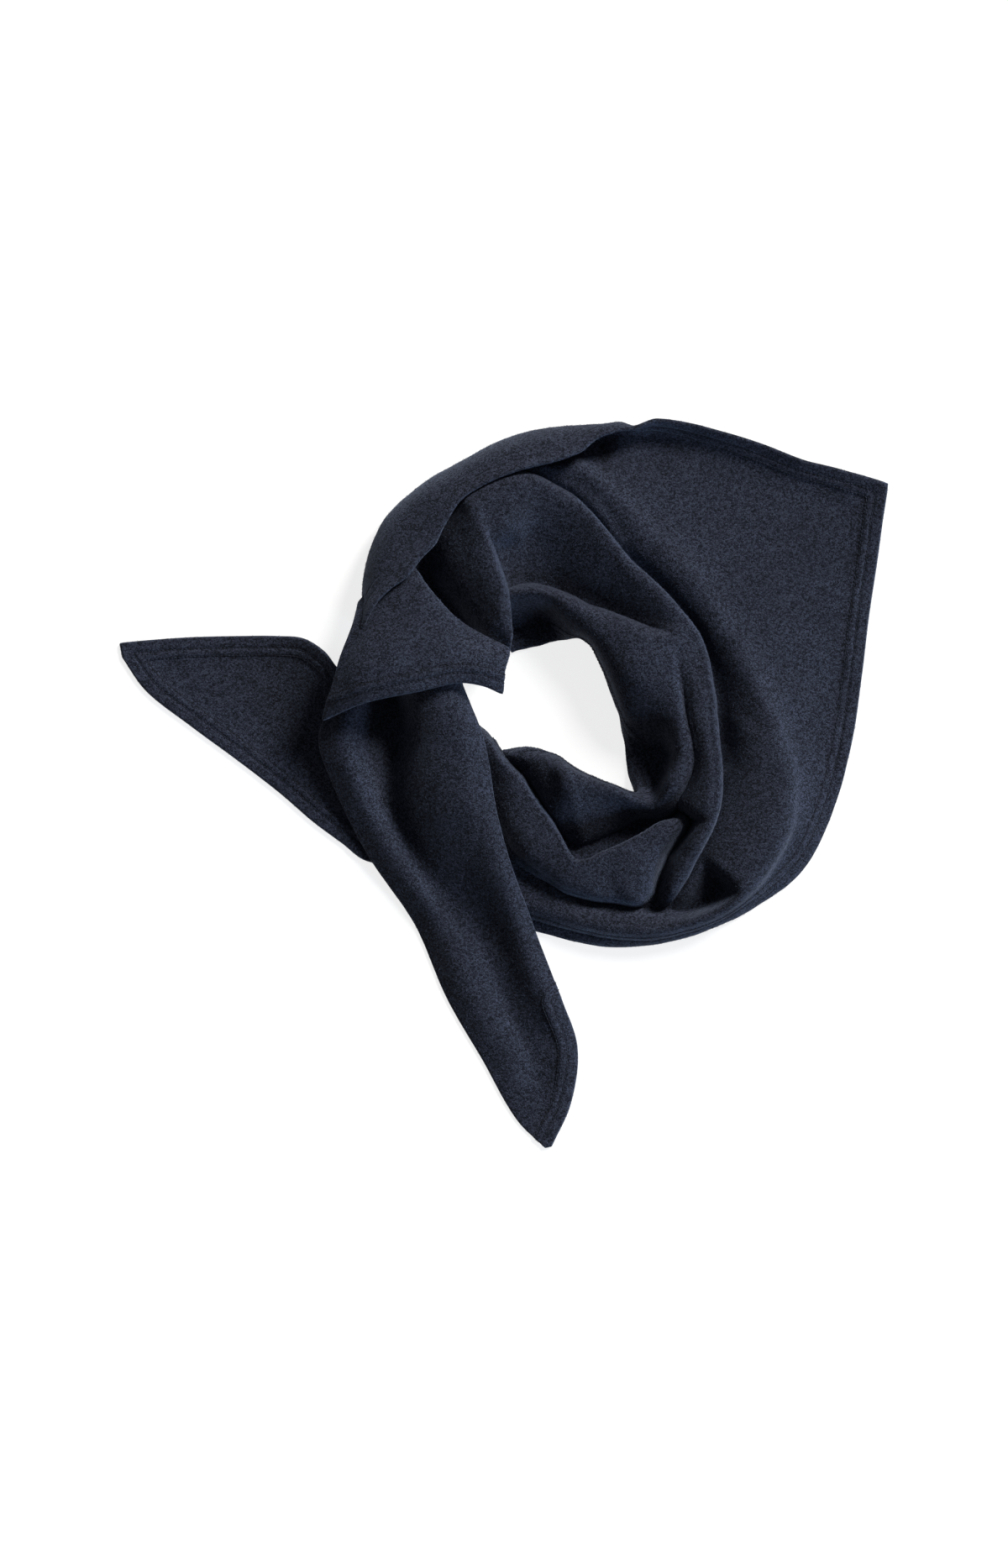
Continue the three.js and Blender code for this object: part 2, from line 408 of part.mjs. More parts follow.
// Several stretches cut from one sheet round the loop. Each is half a seam gap back from every cut and
// from each border where another sheet meets it. That sheet's nearest fold line is given in meets.
function addLoopStretches(lines, faces, meets, stretches) {
  const angles = [];
  const ranges = stretches.map(([name, from, to]) => {
    const part = angleRange(from, to);
    const start = Math.max(angles.length - 1, 0);
    angles.push(...(angles.length === 0 ? part : part.slice(1)));
    return { name, start, end: angles.length - 1 };
  });
  const grid = onSurface(loopSheet(lines, faces, angles));
  const up = normals(grid);
  const turns = angles.map((angle) => THREE.MathUtils.degToRad(angle));
  turns.forEach((turn, i) => {
    const last = grid[i].length - 1;
    const [x, y] = [Math.cos(turn), Math.sin(turn)];
    if (meets.first) {
      [grid[i][0]] = stepped([grid[i][0]], x, y);
      const joined = angles[i] <= meets.joinedFrom;
      if (joined) up[i][0] = mitre(meets.first, lines[0], lines[1], angles[i]);
    }
    if (meets.last) {
      [grid[i][last]] = stepped([grid[i][last]], -x, -y);
      up[i][last] = mitre(lines[lines.length - 2], lines[lines.length - 1], meets.last, angles[i]);
    }
  });
  ranges.forEach(({ name, start, end }) => {
    const piece = grid.slice(start, end + 1);
    const leaning = up.slice(start, end + 1);
    [[0, start, 1], [end - start, end, -1]].forEach(([place, station, side]) => {
      const [x, y] = [Math.sin(turns[station]), -Math.cos(turns[station])];
      const cut = new THREE.Vector3(x, y, 0);
      piece[place] = stepped(piece[place], x * side, y * side);
      leaning[place] = leaning[place].map((n) => n.clone().projectOnPlane(cut).normalize());
    });
    addStretch(name, piece, leaning);
  });
}

function addLeftTail() {
  const sections = LEFT_TAIL.map(([ux, uy, lx, ly, upper, middle, lower]) => {
    const length = Math.hypot(ux - lx, uy - ly);
    const hem = Math.min(HEM_WIDTH / length, 0.25);
    const at = (share, height) => [ux + (lx - ux) * share, uy + (ly - uy) * share, height];
    return [at(1, lower), at(1 - hem, lower + (middle - lower) * 0.15), at(0.5, middle),
      at(hem, upper * 0.8 + middle * 0.2), at(0, upper)];
  });
  const grid = onSurface(crossSheet(sections, 2, 2));
  addStretch('left_tail', grid, normals(grid));
}

function addDownTail() {
  const sections = DOWN_TAIL.map(([lx, ly, rx, ry, ...heights], row) => {
    const points = heights.map((height, k) => {
      const share = DOWN_TAIL_PLACES[row][k];
      return [lx + (rx - lx) * share, ly + (ry - ly) * share, height];
    });
    return points;
  });
  const grid = onSurface(crossSheet(sections, 2, 2));
  addStretch('down_tail', grid, normals(grid));
}

// The layers hidden under the crossing share one rounded solid.
function addHiddenLayers() {
  const { left, right, front, back, edge, middle } = HIDDEN_LAYERS;
  const sections = [left, (left + right) / 2, right]
    .map((x) => [front, (front + back) / 2, back].map((y) => [x, y, 0]));
  const grid = crossSheet(sections, 3, 4);
  const swell = (share) => 1 - (2 * share - 1) ** 4;
  const thickness = (along, across) => edge + (middle - edge) * swell(along) * swell(across);
  const upright = grid.map((row) => row.map(() => new THREE.Vector3(0, 0, 1)));
  addStretch('crossing_layers', grid, upright, thickness);
}

function addFlap() {
  const grid = crossSheet(CROSSING_FLAP, 2, 2);
  addStretch('crossing_flap', grid, normals(grid));
}

addLoopStretches(
  [INNER_EDGE, INNER_WALL, ROLL_CREST, ROLL_FLANK, ROLL_DROP, ROLL_VALLEY],
  [2, 2, 2, 1, 1],
  { last: COLLAR_SLOPE },
  [['inner_roll_top', 120, 60], ['inner_roll_side', 60, -45], ['inner_roll_low', -45, -140]],
);
addLoopStretches(
  [COLLAR_FOOT, COLLAR_SLOPE, COLLAR_SHOULDER, COLLAR_HOLLOW, COLLAR_RISE, COLLAR_CREST, CREASE],
  [1, 2, 1, 1, 1, 1],
  { first: ROLL_DROP, joinedFrom: 105, last: OUTER_VALLEY },
  [['crossing_fold', 145, 100], ['collar_fold_top', 100, 25], ['collar_fold_side', 25, -40],
    ['collar_fold_low', -40, -100], ['crossing_strip', -100, -170]],
);
addLoopStretches(
  [CREASE, OUTER_VALLEY, OUTER_RISE, OUTER_CREST, OUTER_FOOT, PANEL, OUTER_EDGE_SIDE],
  [1, 2, 2, 1, 1, 2],
  { first: COLLAR_CREST, joinedFrom: 180 },
  [['lower_arc', -20, -110]],
);
addLoopStretches(
  [CREASE, OUTER_VALLEY, OUTER_RISE, OUTER_CREST, OUTER_FOOT, PANEL, OUTER_EDGE_TOP],
  [1, 2, 2, 1, 1, 2],
  { first: COLLAR_CREST, joinedFrom: 180 },
  [['point_panel_top', 75, POINT_ANGLE]],
);
addLoopStretches(
  [CREASE, OUTER_VALLEY, OUTER_RISE, OUTER_CREST, OUTER_FOOT, PANEL, OUTER_EDGE_SIDE],
  [1, 2, 2, 1, 1, 2],
  { first: COLLAR_CREST, joinedFrom: 180 },
  [['point_panel_side', POINT_ANGLE, -20]],
);
addLoopStretches(
  [CREASE, OUTER_VALLEY, OUTER_RISE, OUTER_CREST, OUTER_FOOT, PANEL],
  [1, 2, 2, 1, 1],
  { first: COLLAR_CREST, joinedFrom: 180, last: TURNED_LOW },
  [['outer_fold_top', 105, 75]],
);
addLoopStretches(
  [PANEL, TURNED_LOW, TURNED_FOLD, TURNED_TOP, TURNED_HEM],
  2,
  { first: OUTER_FOOT, joinedFrom: 105 },
  [['turned_edge', 155, 75]],
);
addLeftTail();
addHiddenLayers();
addFlap();
addDownTail();

export default scarf;
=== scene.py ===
import math

import bmesh
import bpy
import numpy as np
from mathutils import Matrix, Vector, noise


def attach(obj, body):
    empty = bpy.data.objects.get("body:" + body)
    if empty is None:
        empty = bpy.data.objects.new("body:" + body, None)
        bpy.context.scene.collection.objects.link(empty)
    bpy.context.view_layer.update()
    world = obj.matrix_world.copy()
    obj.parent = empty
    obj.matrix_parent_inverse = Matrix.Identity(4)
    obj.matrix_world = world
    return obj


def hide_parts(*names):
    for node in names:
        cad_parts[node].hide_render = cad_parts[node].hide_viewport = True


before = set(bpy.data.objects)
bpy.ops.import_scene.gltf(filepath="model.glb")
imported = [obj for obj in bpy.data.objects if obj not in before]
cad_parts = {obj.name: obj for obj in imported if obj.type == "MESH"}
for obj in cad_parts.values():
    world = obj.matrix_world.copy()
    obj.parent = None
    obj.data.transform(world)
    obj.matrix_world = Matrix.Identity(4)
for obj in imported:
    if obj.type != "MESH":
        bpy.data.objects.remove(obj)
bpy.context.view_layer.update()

# ---- sizes, in metres unless the name says millimetres ----
MM = 0.001
CLOTH = 2.0              # mm, wall of the milled knit
HEM = 3.2                # mm, wall where the hem is turned double
HEM_WIDTH = 16.0         # mm, depth of the turned hem
STITCH_ROWS = (8.5, 15.0)  # mm, the two rows of topstitching, from the edge
LOOP_X, LOOP_Y = 38.5, 58.5  # mm, middle of the neck loop
FIBRE_DENSITY = 170000.0  # loose fibres to a square metre of cloth
POINT_ANGLE = 34.3       # degrees, where the right-angle point lies
STITCH_DENT = 0.7        # mm, how far each row of stitches draws the cloth in
DENT_WIDTH = 1.3         # mm, how wide that dent is
STITCH_PITCH = 0.0032    # from one stitch to the next
SEAM_LINES = {}          # the rows of topstitching of each piece, filled in as it is made
NAVY = (0.0030, 0.0035, 0.0066)
SLATE = (0.0345, 0.0405, 0.0645)


# ---- curves and grids ----

def follow(rows, t, column):
    """Smooth values at the keys t through rows [key, value...], with no overshoot between them."""
    table = np.array(sorted(rows), float)
    keys, values = table[:, 0], table[:, column]
    slopes = np.diff(values) / np.diff(keys)
    tangents = np.empty(len(keys))
    tangents[0], tangents[-1] = slopes[0], slopes[-1]
    before, after = slopes[:-1], slopes[1:]
    turning = before * after <= 0
    total = np.where(turning, 1.0, before + after)
    tangents[1:-1] = np.where(turning, 0.0, 2 * before * after / total)
    t = np.clip(t, keys[0], keys[-1])
    i = np.clip(np.searchsorted(keys, t, side="right") - 1, 0, len(keys) - 2)
    width = keys[i + 1] - keys[i]
    s = (t - keys[i]) / width
    return ((2 * s**3 - 3 * s**2 + 1) * values[i] + (s**3 - 2 * s**2 + s) * tangents[i] * width
            + (3 * s**2 - 2 * s**3) * values[i + 1] + (s**3 - s**2) * tangents[i + 1] * width)


def smooth_through(points, steps):
    """Centripetal curves through points[..., n, 3], with steps to each span."""
    first = 2 * points[..., :1, :] - points[..., 1:2, :]
    last = 2 * points[..., -1:, :] - points[..., -2:-1, :]
    p = np.concatenate([first, points, last], axis=-2)
    gap = np.sqrt(np.maximum(np.linalg.norm(np.diff(p, axis=-2), axis=-1), 1e-4))[..., None]
    x0, x1, x2, x3 = p[..., :-3, :], p[..., 1:-2, :], p[..., 2:-1, :], p[..., 3:, :]
    d0, d1, d2 = gap[..., :-2, :], gap[..., 1:-1, :], gap[..., 2:, :]
    t1 = ((x1 - x0) / d0 - (x2 - x0) / (d0 + d1) + (x2 - x1) / d1) * d1
    t2 = ((x2 - x1) / d1 - (x3 - x1) / (d1 + d2) + (x3 - x2) / d2) * d1
    pieces = []
    for s in np.arange(steps) / steps:
        pieces.append((2 * s**3 - 3 * s**2 + 1) * x1 + (s**3 - 2 * s**2 + s) * t1
                      + (3 * s**2 - 2 * s**3) * x2 + (s**3 - s**2) * t2)
    out = np.stack(pieces, axis=-2)
    shape = out.shape[:-3] + (out.shape[-3] * steps, 3)
    return np.concatenate([out.reshape(shape), points[..., -1:, :]], axis=-2)


def polar(angles, reach, height):
    """Points at angles and reaches round the middle of the loop."""
    turn = np.radians(angles)
    return np.stack([LOOP_X + reach * np.cos(turn), LOOP_Y + reach * np.sin(turn), height], -1)


def loop_grid(lines, angles, steps):
    """A sheet round the loop: a section at each angle, through the fold lines [angle, reach, height]."""
    points = []
    for rows in lines:
        if callable(rows):
            reach, height = rows(angles)
        else:
            reach, height = follow(rows, angles, 1), follow(rows, angles, 2)
        points.append(polar(angles, reach, height))
    return smooth_through(np.stack(points, axis=1), steps)


def cross_grid(sections, along_steps, across_steps):
    """A sheet through sections that each hold the same number of [x, y, height] points."""
    points = np.array(sections, float).transpose(1, 0, 2)
    lines = smooth_through(points, along_steps)
    return smooth_through(lines.transpose(1, 0, 2), across_steps)


def distance_to(points, line):
    """Distance from each of points[..., 3] to a line of points, each in mm."""
    flat = points.reshape(-1, 3)
    best = np.full(len(flat), 1e9)
    for a, b in zip(line[:-1], line[1:]):
        step = b - a
        share = np.clip(((flat - a) @ step) / max(step @ step, 1e-9), 0, 1)
        best = np.minimum(best, np.linalg.norm(flat - a - share[:, None] * step, axis=1))
    return best.reshape(points.shape[:-1])


# ---- fold lines of the loop, each [angle, reach from the middle, height], in degrees and mm ----

INNER_EDGE = [
    [130, 60, 0], [121, 61, 0], [110, 59, 0], [100, 58.5, 0], [90, 61, 0], [80, 65, 0], [68, 70, 0],
    [60, 69, 0], [50, 64, 0], [40, 60, 0], [20, 56, 0], [10, 57, 0], [0, 60, 0], [-10, 63, 0],
    [-20, 68, 0], [-30, 75, 0], [-36, 83, 0], [-43, 99, 6], [-50, 80, 8], [-60, 62, 6], [-70, 48.5, 3],
    [-80, 39, 0], [-90, 36, 0], [-105, 34, 0], [-120, 36.5, 0], [-130, 41.5, 0], [-140, 51, 0],
]
INNER_WALL = [
    [130, 76, 0], [110, 78, 0], [97, 80, 1], [90, 77, 2], [85, 74, 8], [78, 71, 15], [68, 72.5, 25.5],
    [60, 70.8, 28.5], [50, 66.5, 29.5], [40, 63, 30], [30, 60.5, 30], [20, 60, 28], [10, 61, 27],
    [0, 64, 23], [-10, 67.5, 13], [-20, 73, 4], [-30, 81, 3], [-37, 90, 6], [-43, 100, 15],
    [-50, 80.5, 20], [-60, 62.5, 22], [-70, 49, 22], [-80, 39, 21], [-90, 35.8, 18], [-105, 34, 15],
    [-120, 36, 12], [-130, 41, 9], [-140, 50.9, 2.5],
]
ROLL_CREST = [
    [130, 102, 8], [110, 103, 26], [100, 101, 29], [90, 95, 31], [80, 86, 33], [68, 79, 35.5],
    [60, 77, 37.5], [50, 77, 38.5], [40, 76, 40], [30, 75.5, 41.5], [20, 77, 40], [10, 80, 36],
    [0, 84, 31], [-10, 93, 21], [-20, 103, 8], [-30, 106, 8], [-37, 108, 13], [-43, 104, 26],
    [-50, 82.5, 33], [-60, 66, 35], [-70, 56, 37], [-75, 53, 38], [-80, 50, 37], [-85, 47, 32],
    [-90, 43, 28], [-105, 40, 22], [-120, 42, 17], [-130, 46, 12], [-140, 51.3, 4.2],
]
ROLL_FLANK = [
    [130, 110, 6], [110, 106, 26], [100, 104, 29], [90, 99, 32.5], [80, 93.5, 34.5], [70, 90, 36],
    [60, 91.5, 37], [50, 97, 40], [40, 104, 41], [33, 108, 41], [27, 107, 41], [20, 104, 41],
    [10, 106, 41], [0, 107, 40], [-10, 108.5, 38.5], [-20, 113.5, 37], [-30, 114, 35.5], [-36, 116, 31],
    [-42, 115, 25], [-46, 110, 22], [-50, 108, 15], [-60, 106, 11], [-65, 105.5, 10.5], [-70, 106, 10],
    [-75, 107, 10], [-80, 101, 12], [-84, 93, 16], [-88, 83, 19], [-92, 72.5, 20], [-98, 62, 19],
    [-105, 54, 17], [-120, 49, 10], [-130, 49.8, 8], [-140, 51.9, 3.6],
]
ROLL_DROP = [
    [130, 113, 5], [110, 109, 20], [100, 108, 20], [90, 103.5, 21], [80, 98, 21], [70, 94.5, 23],
    [60, 96.5, 26], [50, 100.5, 30], [40, 107.5, 33], [33, 114, 39.8], [28, 114.5, 39.6], [20, 109.5, 40],
    [10, 108.5, 38], [0, 111, 35], [-10, 117.5, 35.5], [-20, 125, 33], [-30, 126.5, 29], [-36, 127.5, 22],
    [-42, 125, 14], [-46, 120, 4], [-50, 114, 1], [-60, 112, 0], [-70, 112, 0], [-76, 113, 0],
    [-80, 110, 1], [-84, 100, 3], [-88, 88, 6], [-92, 79, 7], [-98, 66.5, 8], [-105, 58.5, 8],
    [-120, 52, 7], [-130, 51.3, 5], [-140, 52.6, 2.8],
]
ROLL_VALLEY = [
    [130, 116, 4], [110, 110, 18], [103, 109, 16], [100, 108.5, 14], [90, 104, 14], [80, 98.5, 15],
    [75, 96.5, 16], [70, 95, 17], [60, 97, 20], [50, 101.5, 24], [45, 105, 27], [40, 110, 30],
    [33, 119, 38.5], [28, 120, 39], [22, 113, 38.8], [10, 111.5, 36], [0, 112, 33], [-10, 118.7, 31],
    [-20, 126.5, 20], [-30, 128, 12], [-36, 131, 3], [-41, 133.5, 1], [-45, 132, 0], [-50, 130.5, 0],
    [-60, 128, 0], [-70, 127.5, 0], [-76, 129.5, 0], [-80, 128.5, 0], [-82.5, 122, 1], [-85, 108, 3],
    [-87, 96, 4], [-90, 86.5, 4], [-95, 77.5, 4], [-105, 65, 4], [-115, 56.5, 4], [-130, 54, 3],
    [-140, 53.5, 2], [-150, 53, 2], [-160, 55, 2], [-172, 63, 2],
]
COLLAR_FOOT = [
    [137, 72, 9], [132, 64, 15], [128, 62, 23], [124, 62, 30], [120, 66, 36], [116, 73, 39],
    [113, 86, 40.5], [110.6, 99, 40], [110.2, 104, 39], [109.3, 108, 22], *ROLL_VALLEY[2:],
]
COLLAR_SLOPE = [
    [137, 92, 5], [132, 90, 16], [128, 88, 29], [124, 86, 36], [120, 88, 39.5], [116, 94, 42.5],
    [113, 104, 43.5], [110.2, 114, 44], [109.3, 117, 24], [103, 118, 19], [100, 118, 17], [90, 116, 17],
    [80, 109, 18.5], [70, 104.5, 20], [60, 104.5, 22.5], [50, 108, 26.5], [40, 116, 33], [33, 124, 38.5],
    [28, 125.5, 38.5], [20, 118.5, 39.5], [10, 115.5, 38], [0, 115.5, 37], [-10, 121, 36], [-20, 129, 33],
    [-30, 131, 30], [-34.5, 131.5, 27], [-36.5, 134.5, 3], [-38.5, 141, 20], [-41, 136.5, 27],
    [-45, 129.5, 28], [-50, 127, 28], [-60, 124.5, 29], [-70, 124, 29], [-76, 126, 29], [-80, 125, 28],
    [-82.5, 119.5, 28], [-85, 107, 28], [-87, 99, 27], [-90, 91, 27], [-95, 82, 26], [-105, 69, 25],
    [-115, 60, 25], [-130, 57, 24], [-140, 56, 23], [-150, 56, 20], [-160, 59, 17], [-172, 67, 13],
]
COLLAR_SHOULDER = [
    [137, 114, 1], [132, 114, 10], [128, 112, 25], [124, 110, 33], [120, 113, 37.5], [116, 119, 41.5],
    [113, 129, 43.5], [110.2, 138, 44], [109.3, 141, 29], [103, 144, 27], [100, 144, 27], [97, 146, 26],
    [94, 146, 26], [90, 142, 26], [80, 128, 27], [70, 117, 27.5], [60, 114, 28], [50, 115, 30.5],
    [40, 121, 35], [33, 127, 38.3], [28, 128.5, 38], [20, 123.5, 39.5], [10, 120.5, 40.5],
    [0, 120.5, 40.5], [-10, 126.5, 39.5], [-20, 134, 38.5], [-30, 138, 36.5], [-34.5, 139, 33],
    [-36.5, 141, 3], [-38.5, 140.5, 24], [-41, 142, 27], [-45, 142.5, 27], [-50, 144.5, 26],
    [-55, 151, 25], [-58, 157, 24], [-61, 165, 23], [-65, 171, 21], [-70, 160, 21], [-76, 154, 22],
    [-80, 147, 23], [-85, 140, 24], [-90, 130, 24], [-100, 117, 23], [-110, 100, 21], [-130, 72, 18],
    [-150, 70, 15], [-172, 74, 10],
]
COLLAR_HOLLOW = [
    [137, 135, 1], [132, 136, 5], [128, 137, 21], [124, 138, 31], [120, 141, 36.5], [116, 146, 40.5],
    [113, 150, 42.5], [110.2, 152, 43.5], [109.3, 152.5, 38], [103, 157, 38.5], [100, 160, 38],
    [97, 167, 37], [94, 173, 37], [90, 171, 37], [85, 163, 37], [80, 154, 37], [75, 144.5, 37],
    [70, 136, 36.5], [65, 131, 36], [60, 128, 36], [50, 126, 36.5], [40, 128, 38], [33, 130, 38],
    [28, 131, 37.6], [20, 129, 39], [10, 126.5, 41], [0, 126.5, 41.5], [-10, 131, 41.5], [-20, 140, 41],
    [-30, 148.5, 40], [-34.5, 151, 36], [-36.5, 149, 4], [-41, 150.5, 0], [-45, 151.5, 0],
    [-50, 154.3, 0], [-55, 161.5, 0], [-58, 168.5, 0], [-61, 177, 0], [-65, 175.5, 8], [-70, 163.5, 17],
    [-76, 157, 18], [-80, 151, 18], [-85, 145, 17], [-90, 135.5, 16], [-100, 123, 14], [-105, 118, 12],
    [-115, 100, 12], [-130, 84, 12], [-140, 78, 12], [-160, 75, 10], [-172, 80, 7],
]
COLLAR_RISE = [
    [137, 146, 2], [132, 147, 4], [128, 149, 17], [124, 151, 28], [120, 155, 34], [116, 161, 38],
    [113, 166, 41], [111, 172, 42.5], [109.8, 174, 43], [107.5, 170, 41], [103, 174, 41.5],
    [100, 177, 41], [97, 180, 40], [94, 185, 39.5], [90, 180.5, 39.8], [85, 174, 40], [80, 165, 40],
    [75, 155.5, 40], [70, 147, 40], [65, 140.5, 39.8], [60, 136, 39.2], [50, 133, 39.5], [40, 132, 39],
    [33, 133, 37.6], [28, 133.5, 37.2], [20, 132.5, 38.6], [10, 131, 40.6], [0, 131.5, 41],
    [-10, 136, 41], [-20, 145, 40.5], [-30, 155, 39.6], [-35, 158, 38.5], [-36.5, 157, 37],
    [-41, 158, 35], [-45, 160.5, 32], [-50, 164, 28.5], [-55, 172, 23], [-58, 179, 15], [-60, 182, 0],
    [-61, 179, 1], [-65, 176.5, 6], [-70, 164.5, 16], [-76, 158, 16], [-80, 152.5, 16], [-85, 146.5, 15],
    [-90, 137, 14], [-100, 125, 12], [-105, 120, 11], [-115, 104, 10], [-130, 88, 10], [-140, 82, 10],
    [-160, 78, 8], [-172, 84, 6],
]
COLLAR_CREST = [
    [137, 156, 1], [132, 158, 3], [128, 160, 11], [124, 164, 23], [120, 170, 30], [116, 177, 34],
    [113, 184, 37], [111, 189, 40], [106, 194, 40], [100, 198, 40], [94, 195, 39.5], [90, 188.5, 39.5],
    [85, 181, 39.5], [80, 170.5, 39.5], [75, 160, 39.5], [70, 151, 39.5], [65, 144.5, 39],
    [60, 140, 38.5], [50, 137, 39], [40, 136, 38.5], [33, 137, 37], [28, 137.5, 36.5], [20, 136.5, 38],
    [10, 135, 40], [0, 135.5, 40.5], [-10, 140, 40.5], [-20, 149, 40], [-30, 159, 39], [-35, 162.5, 38],
    [-41, 165.5, 36], [-45, 169, 32], [-50, 175, 27], [-55, 180.5, 22], [-58, 184, 14], [-60, 184.5, 1],
    [-61, 180.5, 2], [-65, 177.5, 4], [-70, 166, 11], [-76, 159, 12], [-80, 153.5, 12], [-85, 147.5, 12],
    [-90, 138.5, 11], [-100, 127, 10], [-105, 122, 9], [-115, 108, 8], [-130, 92, 8], [-140, 86, 8],
    [-160, 82, 7], [-172, 88, 5],
]
CREASE = [
    [137, 170, 5], [132, 172, 8], [128, 175, 13], [124, 180, 18], [118, 190, 20], [106, 203, 17],
    [99, 203.5, 13], [95, 199, 9], [90, 188, 5], [85, 180, 5], [80, 169.5, 5], [75, 159, 5], [70, 150, 5],
    [65, 143.5, 5], [60, 138.5, 5], [50, 135.5, 5], [40, 134.5, 5], [30, 135.5, 5], [20, 135, 4],
    [10, 133.5, 3], [0, 134, 2], [-10, 138.5, 1], [-20, 147.5, 1], [-30, 157.5, 1], [-36, 162, 1],
    [-40, 164.5, 1], [-45, 168, 1], [-50, 174.5, 1], [-55, 180.5, 1], [-58, 185.5, 1], [-61, 185, 1],
    [-65, 178.5, 3], [-70, 168, 5], [-75, 162, 5], [-80, 156, 5], [-90, 141, 5], [-100, 130, 5],
    [-105, 125, 5], [-115, 116, 5], [-130, 104, 5], [-140, 98, 5], [-160, 92, 4], [-172, 96, 3],
]
OUTER_VALLEY = [
    [104, 207, 14], [98, 205, 14], [94, 202, 14], [90, 196, 15], [85, 188, 16], [80, 178, 16],
    [75, 167.5, 15], [70, 157, 14], [65, 150.5, 11], [60, 146, 8], [50, 142.8, 7], [40, 141.8, 7],
    [30, 143, 7], [20, 143, 6], [10, 142, 4], [0, 142.5, 3], [-5, 144.5, 2], [-10, 148, 3], [-15, 151, 5],
    [-20, 154, 9], [-25, 158.5, 13], [-30, 163, 16], [-36, 168, 18], [-40, 171, 18], [-45, 175.5, 17],
    [-50, 181, 14], [-55, 187, 9], [-58, 190.5, 4], [-60, 189, 2], [-65, 183, 8], [-70, 173, 10],
    [-80, 161, 10], [-90, 146.5, 9], [-100, 136, 7], [-105, 132, 6],
]
OUTER_RISE = [
    [104, 208.5, 14], [98, 206, 15], [94, 204, 16], [90, 201, 17], [85, 197, 18], [80, 189, 18],
    [75, 178, 17], [70, 168, 16], [60, 154, 15], [50, 150, 14], [40, 149, 13.5], [30, 149.5, 13.5],
    [20, 151, 12.5], [10, 154, 12], [0, 158, 14], [-5, 163, 18], [-10, 168, 20], [-15, 172, 21.5],
    [-20, 176, 23.5], [-30, 184, 25], [-38, 193, 26], [-42, 199, 26], [-45, 203.5, 3], [-50, 204, 0],
    [-55, 201, 0], [-58, 197, 5], [-60, 194, 9], [-65, 188, 14], [-70, 180, 15], [-80, 167, 14],
    [-90, 155, 12], [-100, 146, 9], [-105, 141, 8],
]
OUTER_CREST = [
    [104, 210, 14], [98, 207, 15], [94, 206, 16], [90, 205, 17], [85, 208, 18.5], [80, 201, 19],
    [75, 190, 18.5], [70, 181, 18], [60, 168, 18], [50, 163.5, 17.5], [40, 161.5, 17], [30, 161, 17],
    [20, 163, 17], [10, 170, 19], [-30, 218.5, 26.5], [-40, 220, 26.5], [-45, 219, 25.5], [-50, 216, 23],
    [-55, 210.5, 22], [-60, 205, 20], [-65, 199.5, 19], [-70, 192.5, 18], [-80, 178, 16],
    [-90, 166.5, 12], [-100, 158, 9], [-105, 150, 6],
]
OUTER_FOOT = [
    [104, 213, 7], [98, 210, 7], [94, 210, 7], [90, 212, 7], [85, 217, 6], [80, 213, 6], [75, 204, 11],
    [70, 197, 11.5], [60, 184, 12], [50, 180, 12], [40, 178, 12], [30, 178, 12], [20, 181, 12],
    [10, 188, 12], [0, 197, 12], [-10, 209, 13], [-20, 221, 14], [-25, 225, 14], [-30, 226, 13],
    [-40, 225.5, 12.5], [-45, 223.5, 10], [-50, 220.5, 9], [-55, 216, 9], [-60, 211, 8], [-65, 205.5, 8],
    [-70, 198.5, 7], [-80, 184, 6], [-90, 173.5, 4], [-100, 165, 3], [-105, 159, 2],
]
PANEL = [
    [157, 150, 0], [140, 168, 0], [120, 190, 0], [110, 207, 0], [104, 216, 0], [95, 222, 0], [84, 231, 0],
    [75, 229, 0], [70, 228, 0], [60, 228, 2], [50, 231, 2.5], [40, 238, 2.5], [34.3, 244, 2],
    [30, 238, 2.5], [20, 231, 2.5], [10, 227, 2], [0, 228, 1.5], [-10, 233, 2], [-20, 238, 3],
    [-30, 238, 4], [-40, 230, 4], [-50, 222.5, 5], [-60, 213, 5], [-70, 201, 4], [-80, 188, 3],
    [-90, 178, 1], [-105, 166, 0],
]
OUTER_EDGE_TOP = [
    [84, 241, 22], [75, 251, 22], [70, 261, 20], [60, 273, 17], [50, 288, 14], [45, 298, 13],
    [40, 315.5, 11], [34.3, 339, 9],
]
OUTER_EDGE_SIDE = [
    [34.3, 339, 9], [30, 318, 5], [25, 299, 2], [20, 283.5, 0], [15, 272, 0], [10, 264, 0], [5, 258, 0],
    [0, 254, 0], [-10, 249, 0], [-20, 247, 0], [-30, 246, 0], [-35, 242, 0], [-40, 236, 0], [-50, 224, 0],
    [-60, 214, 0], [-70, 203.5, 0], [-80, 192.5, 0], [-90, 182.5, 0], [-105, 174, 0],
]
TURNED_LOW = [
    [157, 168, 8], [150, 173, 4], [140, 191, 1], [130, 204, 0], [120, 210, 0], [110, 215, 0],
    [100, 225, 0], [90, 232, 0], [80, 239, 2], [76, 243, 5],
]
TURNED_FOLD = [
    [157, 176, 22], [150, 181, 18], [146, 189, 16], [140, 199, 14], [130, 213, 13], [120, 218.5, 12],
    [110, 222.5, 12], [100, 231.5, 12], [90, 238, 13], [80, 245, 15], [76, 251, 18],
]
TURNED_TOP = [
    [157, 174, 36], [150, 179, 38], [140, 190, 38], [130, 201, 37], [120, 208, 36], [110, 213, 35],
    [100, 222, 34], [90, 228, 32], [80, 240, 27], [76, 246, 27],
]
TURNED_HEM = [
    [157, 173, 46], [150, 173, 50], [142, 169, 51], [136, 165, 50], [130, 168, 47], [125, 170, 45],
    [120, 179, 44], [112, 194, 44], [107, 198, 44], [99, 203, 44], [90, 209, 41], [84, 218, 36],
    [80, 234, 30], [76, 243, 29],
]
